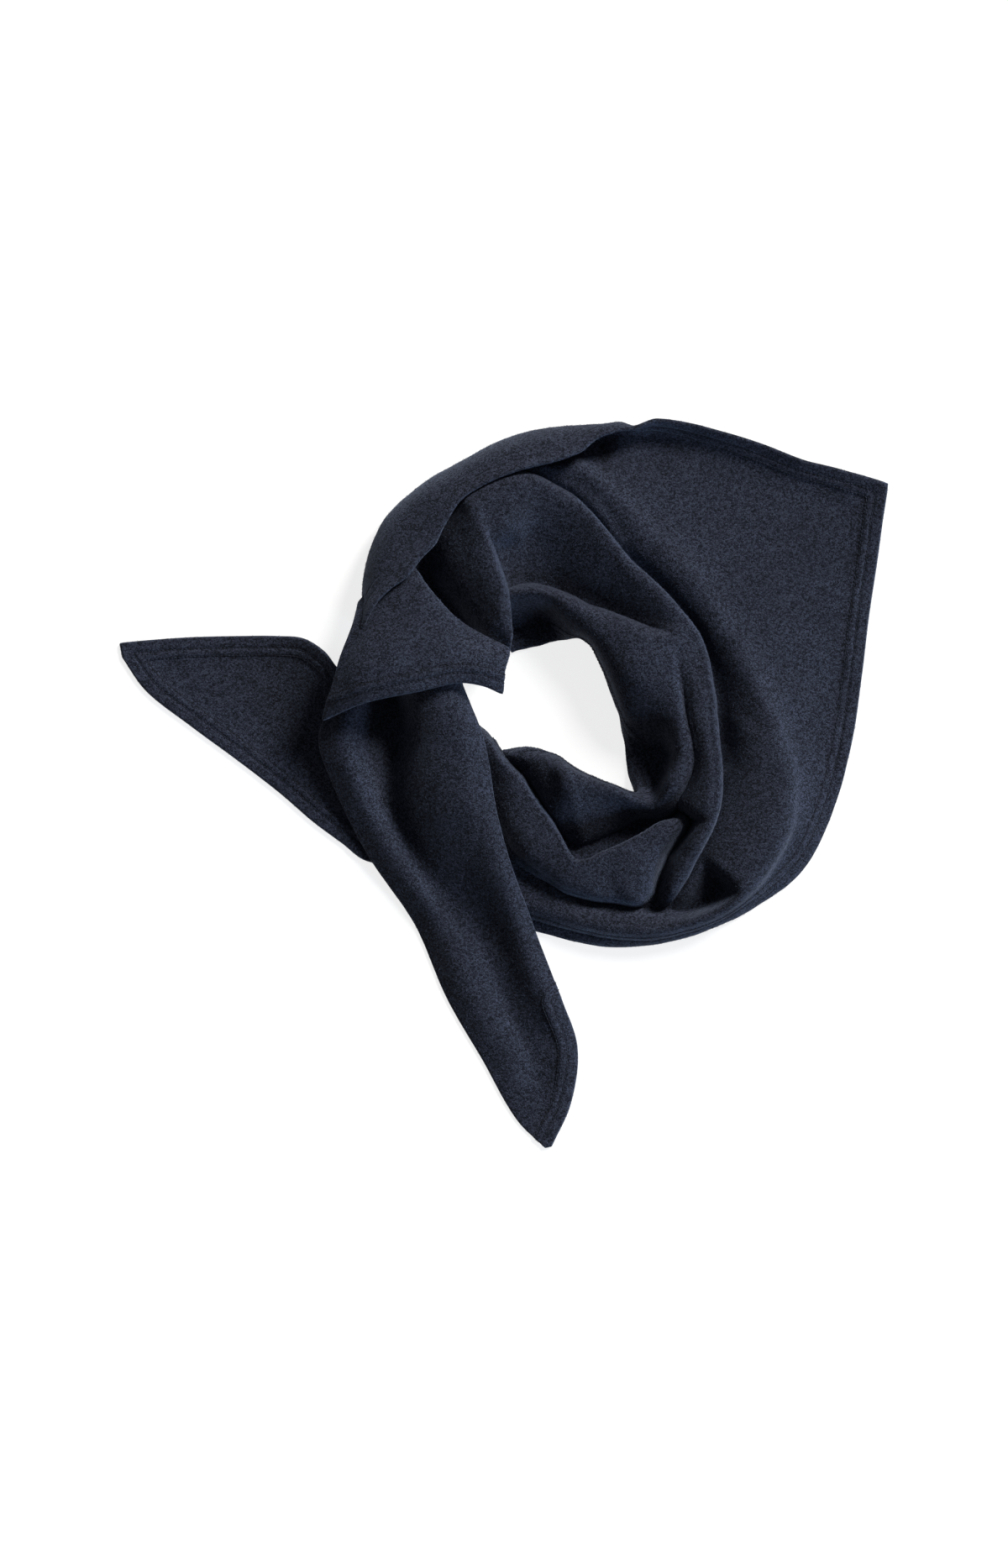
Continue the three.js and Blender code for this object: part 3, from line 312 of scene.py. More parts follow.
LEFT_TAIL = [
    [-319, 116.5, -317, 106, 0, 0, 0],
    [-297.5, 118.5, -298, 79, 0, 0, 0],
    [-262, 121, -260, 49, 0, 0, 0],
    [-224, 122, -220.5, 20, 0, 0, 0],
    [-189, 122, -185.5, -7, 2, 3, 0],
    [-166.5, 120, -157.5, -31, 9, 9, 0],
    [-148.5, 109, -133, -49, 19, 15, 0],
    [-136, 93, -116, -62, 24, 12, 1],
    [-118, 76, -98, -66, 20, 6, 2],
]
DOWN_TAIL = [
    [-139, 74, -38, 88, 24, 28, 8, 38, 43, 40, 34],
    [-153, 37.5, -17, 34, 20, 27, 4, 34, 43, 40, 35],
    [-138.5, -6, -8, -18.5, 13, 20, 6, 26, 39, 38, 34],
    [-113.5, -57, 3, -60.5, 6, 14, 9, 17, 25, 34, 31],
    [-73.5, -116.5, 23, -116.5, 0, 10, 9, 8, 12, 22, 18],
    [-46, -179.5, 46.5, -179.5, 0, 7, 7, 3, 6, 13, 9],
    [-18.5, -227, 59.5, -219, 0, 4, 4, 1, 3, 5, 1],
    [12.5, -281, 54.5, -266, 0, 0, 0, 0, 0, 0, 0],
    [34.5, -302, 39, -301, 0, 0, 0, 0, 0, 0, 0],
]
DOWN_TAIL_PLACES = [
    [0, 0.18, 0.46, 0.66, 0.85, 0.95, 1],
    [0, 0.16, 0.45, 0.62, 0.86, 0.95, 1],
    [0, 0.16, 0.32, 0.5, 0.78, 0.93, 1],
    [0, 0.18, 0.32, 0.48, 0.68, 0.91, 1],
    [0, 0.2, 0.35, 0.5, 0.68, 0.88, 1],
    [0, 0.2, 0.35, 0.5, 0.66, 0.86, 1],
    [0, 0.2, 0.35, 0.5, 0.66, 0.85, 1],
    [0, 0.2, 0.35, 0.5, 0.66, 0.85, 1],
    [0, 0.2, 0.35, 0.5, 0.66, 0.85, 1],
]
CROSSING_FLAP = [
    [[-149, 54, 34], [-146, 66, 39], [-141, 83, 42], [-135, 104, 43], [-125, 130, 40], [-120, 150, 30]],
    [[-119, 67, 49], [-122.5, 85, 53], [-119, 107.5, 52], [-110, 130, 47], [-105, 148, 42], [-107, 164, 30]],
    [[-98, 72.5, 52], [-99.5, 91, 56], [-98, 114.5, 55], [-93, 142.5, 48], [-85.5, 170, 41], [-82, 176, 36]],
    [[-70, 78, 52], [-71.5, 95.5, 56], [-73.5, 118, 55], [-75.5, 144, 50], [-76, 176, 42], [-77, 180, 35]],
    [[-38.5, 85, 48], [-42, 99, 53], [-47, 116, 53], [-54, 130, 51], [-62, 160, 45], [-67, 160, 36]],
    [[-17.5, 82.5, 45], [-19, 97, 50], [-22.5, 109, 50], [-28, 116, 48], [-35, 132, 42], [-39, 129, 34]],
    [[-2, 76, 40], [0, 93.5, 45], [2.5, 102, 45], [4, 107.5, 43], [3.5, 111.5, 40], [0, 108, 36]],
]


# ---- sheets of the loop ----

def collar_lip(angles):
    """Halfway up the collar's slope; on the tucked fold low in the loop, close inside its tight edge."""
    tight = np.clip((-34 - angles) / 5, 0, 1)
    reach, height = follow(COLLAR_SLOPE, angles, 1), follow(COLLAR_SLOPE, angles, 2)
    far_reach, far_height = follow(COLLAR_SHOULDER, angles, 1), follow(COLLAR_SHOULDER, angles, 2)
    share = 0.5 + (np.minimum(0.5, 4 / (far_reach - reach)) - 0.5) * tight
    return reach + (far_reach - reach) * share, height + (far_height - height) * share + tight


def edge_reach(angles):
    """The outer edge, with the sharp corner at the point of the triangle."""
    top, side = follow(OUTER_EDGE_TOP, angles, 1), follow(OUTER_EDGE_SIDE, angles, 1)
    return np.where(angles > POINT_ANGLE, top, side)


def edge_height(angles):
    top, side = follow(OUTER_EDGE_TOP, angles, 2), follow(OUTER_EDGE_SIDE, angles, 2)
    return np.where(angles > POINT_ANGLE, top, side)


def outer_grid(angles, steps):
    """The outer wrap: panel and lower arc, and from the top round to the crossing its edge turns over."""
    lines = []
    under = np.clip((angles - 104) / 10, 0, 1)
    for rows, gap in ((CREASE, 14), (OUTER_VALLEY, 12), (OUTER_RISE, 10), (OUTER_CREST, 8),
                      (OUTER_FOOT, 4)):
        reach, height = follow(rows, angles, 1), follow(rows, angles, 2)
        tucked = np.minimum(reach, follow(PANEL, angles, 1) - gap)
        lines.append(polar(angles, reach + (tucked - reach) * under, height + (2 - height) * under))
    panel_reach = follow(PANEL, angles, 1)
    reach, height = edge_reach(angles), edge_height(angles)
    turned = np.clip((angles - 70) / 8, 0, 1)
    turned = turned * turned * (3 - 2 * turned)
    lift = follow(PANEL, angles, 2)
    for share, rise, rows in ((0.5, 0.18, TURNED_LOW), (0.75, 0.42, TURNED_FOLD), (0.9, 0.72, TURNED_TOP),
                              (1.0, 1.0, TURNED_HEM)):
        open_reach = panel_reach + (reach - panel_reach) * share
        open_height = lift + (height - lift) * rise
        lines.append(polar(angles,
                           open_reach + (follow(rows, angles, 1) - open_reach) * turned,
                           open_height + (follow(rows, angles, 2) - open_height) * turned))
    return smooth_through(np.stack(lines, axis=1), steps)


# ---- from a sheet to a piece of cloth ----

def puckered(points, amount):
    """Slow, uneven waves of the milled cloth, in mm."""
    out = np.empty(len(points))
    for k, p in enumerate(points):
        wide = noise.noise(Vector(p) / 34.0)
        fine = noise.noise(Vector(p) / 11.0 + Vector((7.0, 3.0, 1.0)))
        out[k] = amount * (wide + 0.4 * fine)
    return out


def weld(grids):
    """One sheet from grids that share a border: its points, its four-cornered faces and their UV in mm."""
    corners, faces, uvs, start = [], [], [], 0
    for grid, first in grids:
        rows, cols = grid.shape[:2]
        along = np.linalg.norm(np.diff(grid[:, cols // 2], axis=0), axis=1)
        u = np.repeat(np.concatenate([[0], np.cumsum(along)])[:, None], cols, axis=1)
        across = np.cumsum(np.linalg.norm(np.diff(grid, axis=1), axis=2), axis=1)
        v = first + np.concatenate([np.zeros((rows, 1)), across], axis=1)
        index = start + np.arange(rows * cols).reshape(rows, cols)
        corners.append(grid.reshape(-1, 3))
        uvs.append(np.stack([u, v], -1).reshape(-1, 2))
        quads = np.stack([index[:-1, :-1], index[1:, :-1], index[1:, 1:], index[:-1, 1:]], -1)
        faces.append(quads.reshape(-1, 4))
        start += rows * cols
    corners, uvs, faces = np.concatenate(corners), np.concatenate(uvs), np.concatenate(faces)
    _, first, back = np.unique(np.round(corners * 50).astype(int), axis=0, return_index=True,
                               return_inverse=True)
    return corners[first], back.reshape(-1)[faces], uvs[faces]


def soften(points, faces, passes):
    """Ease a sheet towards its neighbours, with its border held."""
    pairs = np.concatenate([faces[:, [k, (k + 1) % 4]] for k in range(4)])
    pairs = np.unique(np.sort(pairs, axis=1), axis=0, return_counts=True)
    held = np.zeros(len(points), bool)
    held[pairs[0][pairs[1] == 1].ravel()] = True
    a, b = pairs[0].T
    count = np.bincount(np.concatenate([a, b]), minlength=len(points))[:, None]
    out = points.copy()
    for _ in range(passes):
        total = np.zeros_like(out)
        np.add.at(total, a, out[b])
        np.add.at(total, b, out[a])
        step = (total / count - out) * 0.5
        step[held] = 0
        out += step
    return out


def point_normals(points, faces):
    a, b, c, d = (points[faces[:, k]] for k in range(4))
    turn = np.cross(c - a, d - b)
    out = np.zeros_like(points)
    for k in range(4):
        np.add.at(out, faces[:, k], turn)
    return out / np.maximum(np.linalg.norm(out, axis=1, keepdims=True), 1e-9)


def cloth_piece(name, grids, hems=(), wave=0.8, passes=2):
    """A closed wall of cloth on a sheet. hems are the lines, in mm, where its edge is turned double."""
    points, faces, uvs = weld([g if isinstance(g, tuple) else (g, 0.0) for g in grids])
    points = soften(points, faces, passes)
    distance = np.full(len(points), 99.0)
    for line in hems:
        distance = np.minimum(distance, distance_to(points, line))
    hem = np.clip((HEM_WIDTH + 1.0 - distance) / 2.0, 0, 1)
    wall = CLOTH + (HEM - CLOTH) * hem
    wall = wall - STITCH_DENT * sum(np.exp(-((distance - row) / DENT_WIDTH) ** 2) for row in STITCH_ROWS)
    normal = point_normals(points, faces)
    lower = points + normal * puckered(points, wave)[:, None]
    resting = points[:, 2] < 0.6
    lower[:, 2] = np.where(resting, np.maximum(points[:, 2], 0), np.maximum(lower[:, 2], 0))
    upper = lower + normal * wall[:, None]
    upper[:, 2] = np.maximum(upper[:, 2], 0.2)

    ring = np.concatenate([faces[:, [k, (k + 1) % 4]] for k in range(4)])
    ring_uv = np.concatenate([uvs[:, [k, (k + 1) % 4]] for k in range(4)])
    known = {(a, b) for a, b in ring}
    border = [(a, b, uv) for (a, b), uv in zip(ring, ring_uv) if (b, a) not in known]
    push = {}
    for a, b, _ in border:
        out = np.cross(points[b] - points[a], normal[a] + normal[b])
        out /= max(np.linalg.norm(out), 1e-9)
        push[a] = push.get(a, 0) + out
        push[b] = push.get(b, 0) + out
    rim, middle = {}, []
    for a, out in push.items():
        rim[a] = 2 * len(points) + len(middle)
        out = out / max(np.linalg.norm(out), 1e-9)
        middle.append((lower[a] + upper[a]) / 2 + out * wall[a] * 0.42)
    everything = np.concatenate([upper, lower, np.array(middle)])
    everything[:, 2] = np.maximum(everything[:, 2], 0)
    n = len(points)
    quads = [tuple(f) for f in faces] + [tuple(n + i for i in reversed(f)) for f in faces]
    corners_uv = [uv for uv in uvs] + [uv[::-1] for uv in uvs]
    for a, b, uv in border:
        quads += [(b, a, rim[a], rim[b]), (rim[b], rim[a], n + a, n + b)]
        corners_uv += [uv[[1, 0, 0, 1]], uv[[1, 0, 0, 1]]]
    mesh = bpy.data.meshes.new(name)
    mesh.from_pydata((everything * MM).tolist(), [], quads)
    mesh.uv_layers.new(name="UVMap").data.foreach_set("uv", (np.concatenate(corners_uv) * MM).ravel())
    edge = mesh.attributes.new("edge_distance", "FLOAT", "POINT")
    edge.data.foreach_set("value", np.concatenate([distance, distance, distance[list(rim)]]) * MM)
    mesh.polygons.foreach_set("use_smooth", np.ones(len(quads), bool))
    mesh.validate()
    piece = bpy.data.objects.new(name, mesh)
    bpy.context.scene.collection.objects.link(piece)
    SEAM_LINES[name] = [seam_line(upper + normal * 0.15, faces, distance, row) for row in STITCH_ROWS]
    return piece


def seam_line(points, faces, distance, row):
    """The line on the cloth row mm in from the turned edge: its points and the links between them."""
    places, found, links = [], {}, []
    side = distance < row
    for face in faces[np.any(side[faces], axis=1) & ~np.all(side[faces], axis=1)]:
        ends = []
        for a, b in zip(face, np.roll(face, -1)):
            if side[a] == side[b]:
                continue
            a, b = min(a, b), max(a, b)
            if (a, b) not in found:
                share = (row - distance[a]) / (distance[b] - distance[a])
                found[a, b] = len(places)
                places.append(points[a] + (points[b] - points[a]) * share)
            ends.append(found[a, b])
        if len(ends) == 2:
            links.append(ends)
    return np.array(places), links


# ---- wool knit ----

def wool_material():
    made = bpy.data.materials.new("navy_wool_knit")
    made.use_nodes = True
    nodes, links = made.node_tree.nodes, made.node_tree.links
    nodes.clear()

    def node(kind, **settings):
        new = nodes.new(kind)
        for key, value in settings.items():
            setattr(new, key, value)
        return new

    def noise_node(size, detail, rough, vector):
        new = node("ShaderNodeTexNoise")
        new.inputs["Scale"].default_value = 1 / size
        new.inputs["Detail"].default_value = detail
        new.inputs["Roughness"].default_value = rough
        links.new(vector, new.inputs["Vector"])
        return new.outputs["Fac"]

    def yarn_cells(size):
        """Small uneven cells, each with a shade of its own and a rounded top."""
        new = node("ShaderNodeTexVoronoi")
        new.inputs["Scale"].default_value = 1 / size
        links.new(place.outputs["Object"], new.inputs["Vector"])
        parts = node("ShaderNodeSeparateColor")
        links.new(new.outputs["Color"], parts.inputs["Color"])
        return parts.outputs["Red"], new.outputs["Distance"]

    def math_node(operation, a, b):
        new = node("ShaderNodeMath", operation=operation)
        for socket, value in zip(new.inputs, (a, b)):
            if isinstance(value, (int, float)):
                socket.default_value = value
            else:
                links.new(value, socket)
        return new.outputs[0]

    def spread(value, low, high, to_low=0.0, to_high=1.0):
        new = node("ShaderNodeMapRange", interpolation_type="SMOOTHSTEP")
        links.new(value, new.inputs["Value"])
        new.inputs["From Min"].default_value = low
        new.inputs["From Max"].default_value = high
        new.inputs["To Min"].default_value = to_low
        new.inputs["To Max"].default_value = to_high
        return new.outputs["Result"]

    place = node("ShaderNodeTexCoord")
    fleck, pebble = yarn_cells(0.0012)
    fibre, hair = yarn_cells(0.0008)
    cloud = noise_node(0.030, 3.0, 0.5, place.outputs["Object"])
    melange = math_node("ADD", math_node("MULTIPLY", fleck, 0.55), math_node("MULTIPLY", fibre, 0.45))
    share = spread(melange, 0.18, 0.90)
    share = math_node("MULTIPLY", share, spread(cloud, 0.3, 0.7, 0.85, 1.15))
    colour = node("ShaderNodeMix", data_type="RGBA")
    links.new(share, colour.inputs["Factor"])
    colour.inputs["A"].default_value = (*NAVY, 1)
    colour.inputs["B"].default_value = (*SLATE, 1)

    edge = node("ShaderNodeAttribute", attribute_name="edge_distance").outputs["Fac"]
    # Painted shade: the cloth's colour is darkened along each row of stitches to stand in for the shade in
    # the dent the stitches draw in. The same groove mask also deepens that dent in the bump, which is real
    # relief.
    groove = None
    for row in STITCH_ROWS:
        away = math_node("ABSOLUTE", math_node("SUBTRACT", edge, row * MM), 0)
        line = spread(away, 0.0, 0.0012, 1.0, 0.0)
        groove = line if groove is None else math_node("MAXIMUM", groove, line)
    # Painted shade: the melange is mixed towards near-black along the stitch rows.
    painted_groove_shade = node("ShaderNodeMix", data_type="RGBA")
    links.new(math_node("MULTIPLY", groove, 0.35), painted_groove_shade.inputs["Factor"])
    links.new(colour.outputs["Result"], painted_groove_shade.inputs["A"])
    painted_groove_shade.inputs["B"].default_value = (0.004, 0.005, 0.008, 1)

    height = math_node("ADD", math_node("MULTIPLY", pebble, -0.9), math_node("MULTIPLY", hair, -0.5))
    height = math_node("SUBTRACT", height, math_node("MULTIPLY", groove, 1.0))
    bump = node("ShaderNodeBump")
    bump.inputs["Strength"].default_value = 0.6
    bump.inputs["Distance"].default_value = 0.0007
    links.new(height, bump.inputs["Height"])

    shader = node("ShaderNodeBsdfPrincipled")
    links.new(painted_groove_shade.outputs["Result"], shader.inputs["Base Color"])
    links.new(bump.outputs["Normal"], shader.inputs["Normal"])
    shader.inputs["Roughness"].default_value = 0.92
    shader.inputs["Specular IOR Level"].default_value = 0.15
    shader.inputs["Sheen Weight"].default_value = 0.16
    shader.inputs["Sheen Roughness"].default_value = 0.45
    shader.inputs["Sheen Tint"].default_value = (0.55, 0.68, 0.95, 1)
    output = node("ShaderNodeOutputMaterial")
    links.new(shader.outputs["BSDF"], output.inputs["Surface"])
    return made


def thread_material(name, low, high, size, roughness):
    """Wool yarn whose colour changes from low to high along patches of that size."""
    made = bpy.data.materials.new(name)
    made.use_nodes = True
    nodes, links = made.node_tree.nodes, made.node_tree.links
    shader = nodes["Principled BSDF"]
    place = nodes.new("ShaderNodeTexCoord")
    patches = nodes.new("ShaderNodeTexNoise")
    patches.inputs["Scale"].default_value = 1 / size
    patches.inputs["Detail"].default_value = 1.0
    spread = nodes.new("ShaderNodeMapRange")
    spread.inputs["From Min"].default_value = 0.38
    spread.inputs["From Max"].default_value = 0.64
    colour = nodes.new("ShaderNodeMix")
    colour.data_type = "RGBA"
    colour.inputs["A"].default_value = (*low, 1)
    colour.inputs["B"].default_value = (*high, 1)
    links.new(place.outputs["Object"], patches.inputs["Vector"])
    links.new(patches.outputs["Fac"], spread.inputs["Value"])
    links.new(spread.outputs["Result"], colour.inputs["Factor"])
    links.new(colour.outputs["Result"], shader.inputs["Base Color"])
    shader.inputs["Roughness"].default_value = roughness
    shader.inputs["Specular IOR Level"].default_value = 0.2
    return made


WOOL = wool_material()
THREAD = thread_material("navy_thread", (0.006, 0.007, 0.012), (0.020, 0.024, 0.038), 0.004, 0.75)
FIBRE = thread_material("wool_fibre", (0.010, 0.012, 0.020), (0.085, 0.100, 0.150), 0.003, 0.9)


def small_form(name, points, faces):
    """A small closed form, in mm, that the trees below set out many times."""
    mesh = bpy.data.meshes.new(name)
    mesh.from_pydata([[c * MM for c in p] for p in points], [], faces)
    mesh.polygons.foreach_set("use_smooth", [True] * len(faces))
    return bpy.data.objects.new(name, mesh)


def stitch_form():
    """One stitch: a short round-ended bar of thread along X."""
    rings = [(-1.25, 0.26), (-0.8, 0.46), (0.8, 0.46), (1.25, 0.26)]
    points = [[x, r * math.cos(k * math.pi / 3), 0.8 * r * math.sin(k * math.pi / 3)]
              for x, r in rings for k in range(6)]
    faces = [[6 * i + k, 6 * i + 6 + k, 6 * i + 6 + (k + 1) % 6, 6 * i + (k + 1) % 6]
             for i in range(3) for k in range(6)]
    return small_form("stitch", points, faces + [[0, 1, 2, 3, 4, 5], [23, 22, 21, 20, 19, 18]])


def fibre_form():
    """One loose fibre: a thin arched spindle along X that stands off the cloth in the middle."""
    middle = [[0.2, 0.085 * math.cos(k * 2.0944), 0.34 + 0.085 * math.sin(k * 2.0944)] for k in range(3)]
    points = [[-1.3, 0, -0.05], *middle, [1.2, 0.25, 0.12]]
    faces = [[0, 1 + (k + 1) % 3, 1 + k] for k in range(3)] + [[4, 1 + k, 1 + (k + 1) % 3] for k in range(3)]
    return small_form("fibre", points, faces)


STITCH_FORM = stitch_form()
FIBRE_FORM = fibre_form()


def new_tree(name, sizes):
    """An empty tree with a geometry in, the named number inputs, and a geometry out."""
    tree = bpy.data.node_groups.new(name, "GeometryNodeTree")
    tree.interface.new_socket("Geometry", in_out="INPUT", socket_type="NodeSocketGeometry")
    for label, kind in sizes:
        tree.interface.new_socket(label, in_out="INPUT", socket_type=kind)
    tree.interface.new_socket("Geometry", in_out="OUTPUT", socket_type="NodeSocketGeometry")
    return tree, tree.nodes.new("NodeGroupInput"), tree.nodes.new("NodeGroupOutput")


def finish_tree(tree, instances, form, material, given, out):
    """The end of each tree: the form set out, made real and given its material."""
    what = tree.nodes.new("GeometryNodeObjectInfo")
    what.inputs["Object"].default_value = form
    tree.links.new(what.outputs["Geometry"], given)
    real = tree.nodes.new("GeometryNodeRealizeInstances")
    coat = tree.nodes.new("GeometryNodeSetMaterial")
    coat.inputs["Material"].default_value = material
    tree.links.new(instances, real.inputs["Geometry"])
    tree.links.new(real.outputs["Geometry"], coat.inputs["Geometry"])
    tree.links.new(coat.outputs["Geometry"], out.inputs["Geometry"])


def stitch_tree():
    """Stitches end to end along a line, one to each pitch."""
    tree, given, out = new_tree("hem_stitches", [("Pitch", "NodeSocketFloat")])
    add, link = tree.nodes.new, tree.links.new
    line = add("GeometryNodeMeshToCurve")
    even = add("GeometryNodeResampleCurve")
    even.mode = "LENGTH"
    along = add("GeometryNodeInputTangent")
    turn = add("FunctionNodeAlignRotationToVector")
    turn.axis = "X"
    place = add("GeometryNodeInstanceOnPoints")
    link(given.outputs["Geometry"], line.inputs["Mesh"])
    link(line.outputs["Curve"], even.inputs["Curve"])
    link(given.outputs["Pitch"], even.inputs["Length"])
    link(even.outputs["Curve"], place.inputs["Points"])
    link(along.outputs["Tangent"], turn.inputs["Vector"])
    link(turn.outputs["Rotation"], place.inputs["Rotation"])
    finish_tree(tree, place.outputs["Instances"], STITCH_FORM, THREAD, place.inputs["Instance"], out)
    return tree


def fibre_tree():
    """Loose fibres scattered over the cloth, each turned, tilted and scaled by chance."""
    tree, given, out = new_tree("wool_fibres", [("Density", "NodeSocketFloat"), ("Seed", "NodeSocketInt")])
    add, link = tree.nodes.new, tree.links.new
    facing = add("GeometryNodeInputNormal")
    parts = add("ShaderNodeSeparateXYZ")
    upward = add("FunctionNodeCompare")
    upward.operation = "GREATER_THAN"
    upward.inputs["B"].default_value = -0.25
    scatter = add("GeometryNodeDistributePointsOnFaces")
    place = add("GeometryNodeInstanceOnPoints")
    size = add("FunctionNodeRandomValue")
    size.data_type = "FLOAT"
    size.inputs[2].default_value = 0.6
    size.inputs[3].default_value = 1.5
    tilt = add("FunctionNodeRandomValue")
    tilt.data_type = "FLOAT_VECTOR"
    tilt.inputs[0].default_value = (-0.4, -0.5, 0.0)
    tilt.inputs[1].default_value = (0.4, 0.5, 6.283)
    turned = add("GeometryNodeRotateInstances")
    link(facing.outputs["Normal"], parts.inputs["Vector"])
    link(parts.outputs["Z"], upward.inputs["A"])
    link(given.outputs["Geometry"], scatter.inputs["Mesh"])
    link(upward.outputs["Result"], scatter.inputs["Selection"])
    link(given.outputs["Density"], scatter.inputs["Density"])
    link(given.outputs["Seed"], scatter.inputs["Seed"])
    link(given.outputs["Seed"], size.inputs["Seed"])
    link(scatter.outputs["Points"], place.inputs["Points"])
    link(scatter.outputs["Rotation"], place.inputs["Rotation"])
    link(size.outputs[1], place.inputs["Scale"])
    link(place.outputs["Instances"], turned.inputs["Instances"])
    link(tilt.outputs[0], turned.inputs["Rotation"])
    finish_tree(tree, turned.outputs["Instances"], FIBRE_FORM, FIBRE, place.inputs["Instance"], out)
    return tree


STITCH_TREE = stitch_tree()
FIBRE_TREE = fibre_tree()


def grow(name, mesh, tree, **sizes):
    """What a tree makes on a mesh, as a plain piece of its own."""
    holder = bpy.data.objects.new(name + "_source", mesh)
    bpy.context.scene.collection.objects.link(holder)
    modifier = holder.modifiers.new(name, "NODES")
    modifier.node_group = tree
    for item in tree.interface.items_tree:
        if item.item_type == "SOCKET" and item.in_out == "INPUT" and item.name in sizes:
            modifier[item.identifier] = sizes[item.name]
    ready = holder.evaluated_get(bpy.context.evaluated_depsgraph_get())
    made = bpy.data.meshes.new_from_object(ready)
    made.name = name
    for vert in made.vertices:
        vert.co.z = max(vert.co.z, 0.0)
    bpy.data.objects.remove(holder)
    piece = bpy.data.objects.new(name, made)
    bpy.context.scene.collection.objects.link(piece)
    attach(piece, "root")
    return piece


def finish_piece(piece, replaced):
    """Material, frame facts, hem stitches and loose fibres of one piece of cloth."""
    piece.data.materials.append(WOOL)
    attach(piece, "root")
    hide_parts(*replaced)
    lines, links = [], []
    for places, row_links in SEAM_LINES[piece.name]:
        links += [[a + len(lines), b + len(lines)] for a, b in row_links]
        lines += (places * MM).tolist()
    if links:
        mesh = bpy.data.meshes.new(piece.name + "_seams")
        mesh.from_pydata(lines, links, [])
        grow(piece.name + "_stitches", mesh, STITCH_TREE, Pitch=STITCH_PITCH)
    grow(piece.name + "_fibres", piece.data.copy(), FIBRE_TREE, Density=FIBRE_DENSITY, Seed=3)


# ---- the pieces ----

def make_neck_roll():
    """The hole's roll and the collar fold round it, one stretch of cloth that parts at the crossing."""
    inner = [INNER_EDGE, INNER_WALL, ROLL_CREST, ROLL_FLANK, ROLL_DROP]
    collar = [COLLAR_SLOPE, collar_lip, COLLAR_SHOULDER, COLLAR_HOLLOW, COLLAR_RISE, COLLAR_CREST, CREASE]
    steps, turn = 6, 0.8
    shared = loop_grid([*inner, ROLL_VALLEY, *collar], np.arange(103, -140.4, -turn), steps)
    middle = len(inner) * steps
    roll_start = loop_grid([*inner, ROLL_VALLEY], np.arange(121.4, 102.8, -turn), steps)
    fold_start = loop_grid([COLLAR_FOOT, *collar], np.arange(146.2, 102.8, -turn / 2), steps)
    strip = loop_grid([ROLL_VALLEY, *collar], np.arange(-140.2, -171.5, -turn), steps)
    roll_start[-1] = shared[0, :middle + 1]
    fold_start[-1] = shared[0, middle:]
    strip[0] = shared[-1, middle:]
    piece = cloth_piece("neck_roll", [shared, roll_start, (fold_start, 60.0), (strip, 60.0)],
                        [np.concatenate([roll_start[:, 0], shared[:, 0]])])
    finish_piece(piece, ["inner_roll_top", "inner_roll_side", "inner_roll_low", "crossing_fold",
                         "collar_fold_top", "collar_fold_side", "collar_fold_low", "crossing_strip"])


def make_outer_wrap():
    above = np.linspace(156, POINT_ANGLE, 204)
    below = np.linspace(POINT_ANGLE, -110, 220)[1:]
    grid = outer_grid(np.concatenate([above, below]), 7)
    piece = cloth_piece("outer_wrap", [grid], [grid[:, -1]])
    finish_piece(piece, ["outer_fold_top", "point_panel_top", "point_panel_side", "lower_arc", "turned_edge"])


def make_left_tail():
    sections = []
    for ux, uy, lx, ly, upper, middle, lower in LEFT_TAIL:
        length = math.hypot(ux - lx, uy - ly)
        hem = min(HEM_WIDTH / length, 0.25)
        heights = ((1, lower), (1 - hem, lower + (middle - lower) * 0.15), (0.5, middle),
                   (hem, upper * 0.8 + middle * 0.2), (0, upper))
        sections.append([[ux + (lx - ux) * s, uy + (ly - uy) * s, height] for s, height in heights])
    grid = cross_grid(sections, 14, 14)
    piece = cloth_piece("left_tail_cloth", [grid], [grid[:, 0], grid[:, -1]])
    finish_piece(piece, ["left_tail"])


def make_down_tail():
    sections = []
    for (lx, ly, rx, ry, *heights), places in zip(DOWN_TAIL, DOWN_TAIL_PLACES):
        sections.append([[lx + (rx - lx) * s, ly + (ry - ly) * s, height]
                         for s, height in zip(places, heights)])
    grid = cross_grid(sections, 18, 9)
    piece = cloth_piece("down_tail_cloth", [grid], [grid[90:, -1]])
    finish_piece(piece, ["down_tail", "crossing_layers"])


def make_flap():
    grid = cross_grid(CROSSING_FLAP, 12, 12)
    piece = cloth_piece("crossing_flap_cloth", [grid], [grid[:, 0]])
    finish_piece(piece, ["crossing_flap"])


# ---- studio ----

CAMERA_HEIGHT = 6.0
VIEW_LENGTH = 1.3069  # metres of the surface along the frame's long side


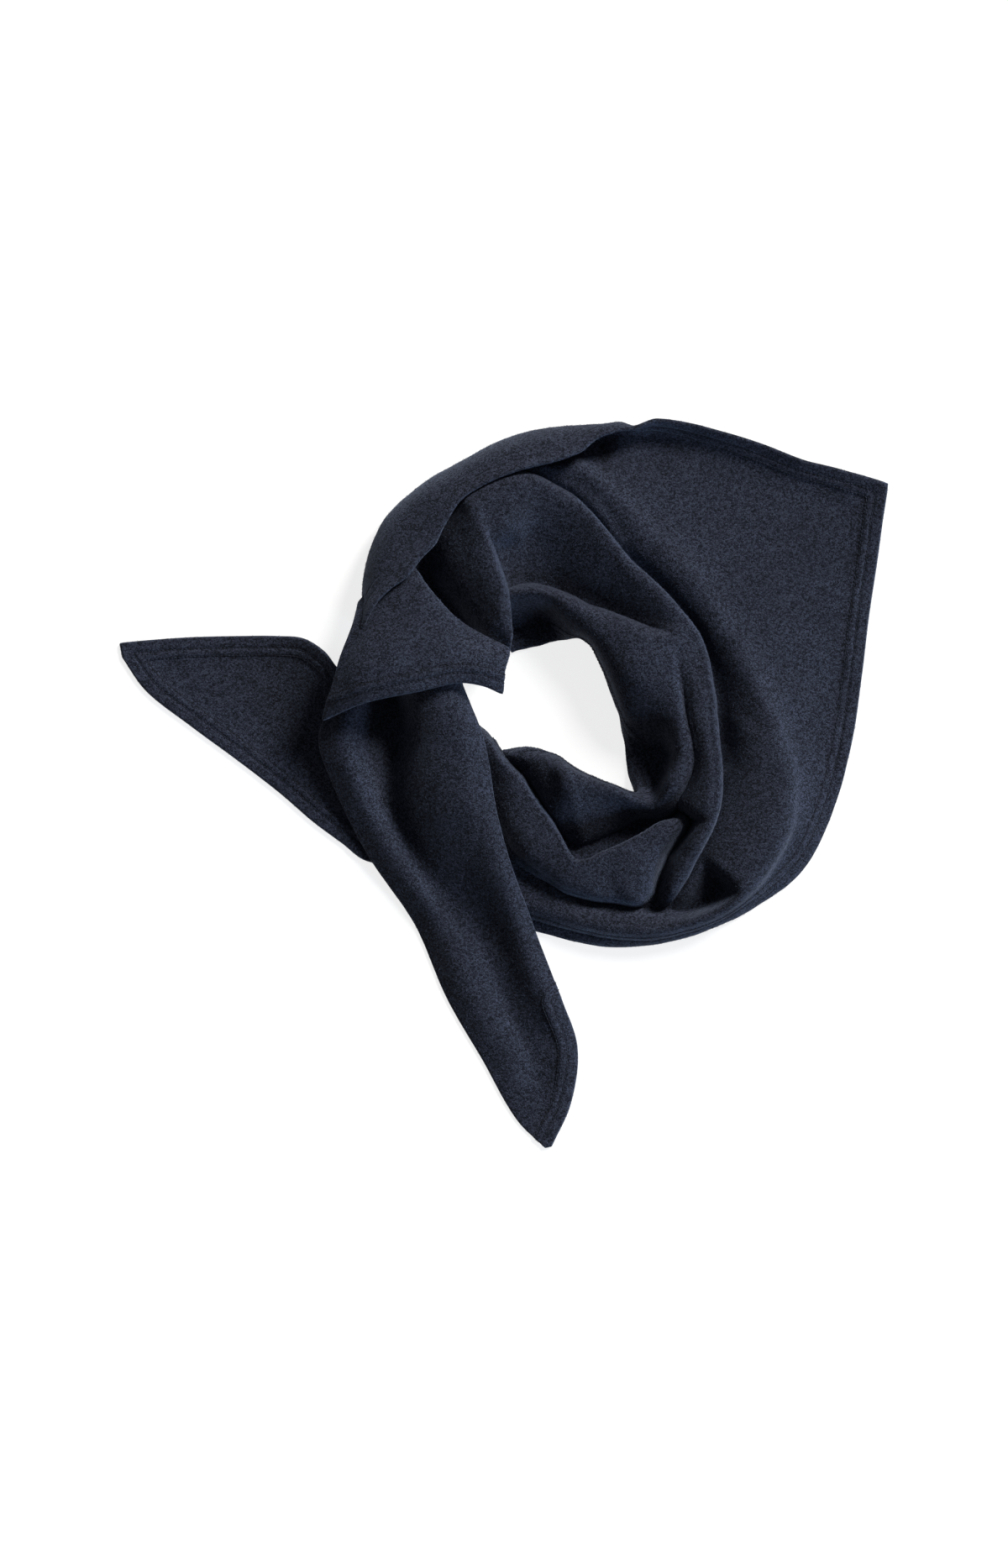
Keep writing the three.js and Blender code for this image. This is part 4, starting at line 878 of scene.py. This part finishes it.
def make_camera():
    data = bpy.data.cameras.new("camera")
    data.sensor_width = 36.0
    data.lens = 36.0 * CAMERA_HEIGHT / VIEW_LENGTH
    camera = bpy.data.objects.new("camera", data)
    camera.location = (0, 0, CAMERA_HEIGHT)
    bpy.context.scene.collection.objects.link(camera)
    bpy.context.scene.camera = camera


def make_floor():
    bm = bmesh.new()
    bmesh.ops.create_grid(bm, x_segments=1, y_segments=1, size=6.0)
    for vert in bm.verts:
        vert.co.z = -0.0003
    mesh = bpy.data.meshes.new("pale_floor")
    bm.to_mesh(mesh)
    bm.free()
    floor = bpy.data.objects.new("pale_floor", mesh)
    material = bpy.data.materials.new("pale_paper")
    material.use_nodes = True
    shader = material.node_tree.nodes["Principled BSDF"]
    shader.inputs["Base Color"].default_value = (0.30, 0.30, 0.30, 1)
    shader.inputs["Emission Color"].default_value = (1, 1, 1, 1)
    shader.inputs["Emission Strength"].default_value = 0.80
    shader.inputs["Roughness"].default_value = 0.9
    shader.inputs["Specular IOR Level"].default_value = 0.1
    mesh.materials.append(material)
    bpy.context.scene.collection.objects.link(floor)


def make_studio():
    world = bpy.data.worlds.new("studio")
    world.use_nodes = True
    world.node_tree.nodes["Background"].inputs["Color"].default_value = (0.93, 0.96, 1, 1)
    world.node_tree.nodes["Background"].inputs["Strength"].default_value = 0.12
    scene = bpy.context.scene
    scene.world = world
    scene.view_settings.view_transform = "Standard"
    for name, towards, strength, softness, colour in (
            ("softbox", (0.551, 0.657, 0.515), 5.0, 18, (1.0, 0.985, 0.96)),
            ("window", (0.80, -0.56, 0.20), 2.8, 16, (0.62, 0.79, 1.0))):
        data = bpy.data.lights.new(name, "SUN")
        data.angle = math.radians(softness)
        data.energy = strength
        data.color = colour
        light = bpy.data.objects.new(name, data)
        light.location = Vector(towards) * 2
        light.rotation_euler = Vector(towards).to_track_quat("Z", "Y").to_euler()
        scene.collection.objects.link(light)


make_camera()
make_floor()
make_studio()
make_neck_roll()
make_outer_wrap()
make_left_tail()
make_down_tail()
make_flap()
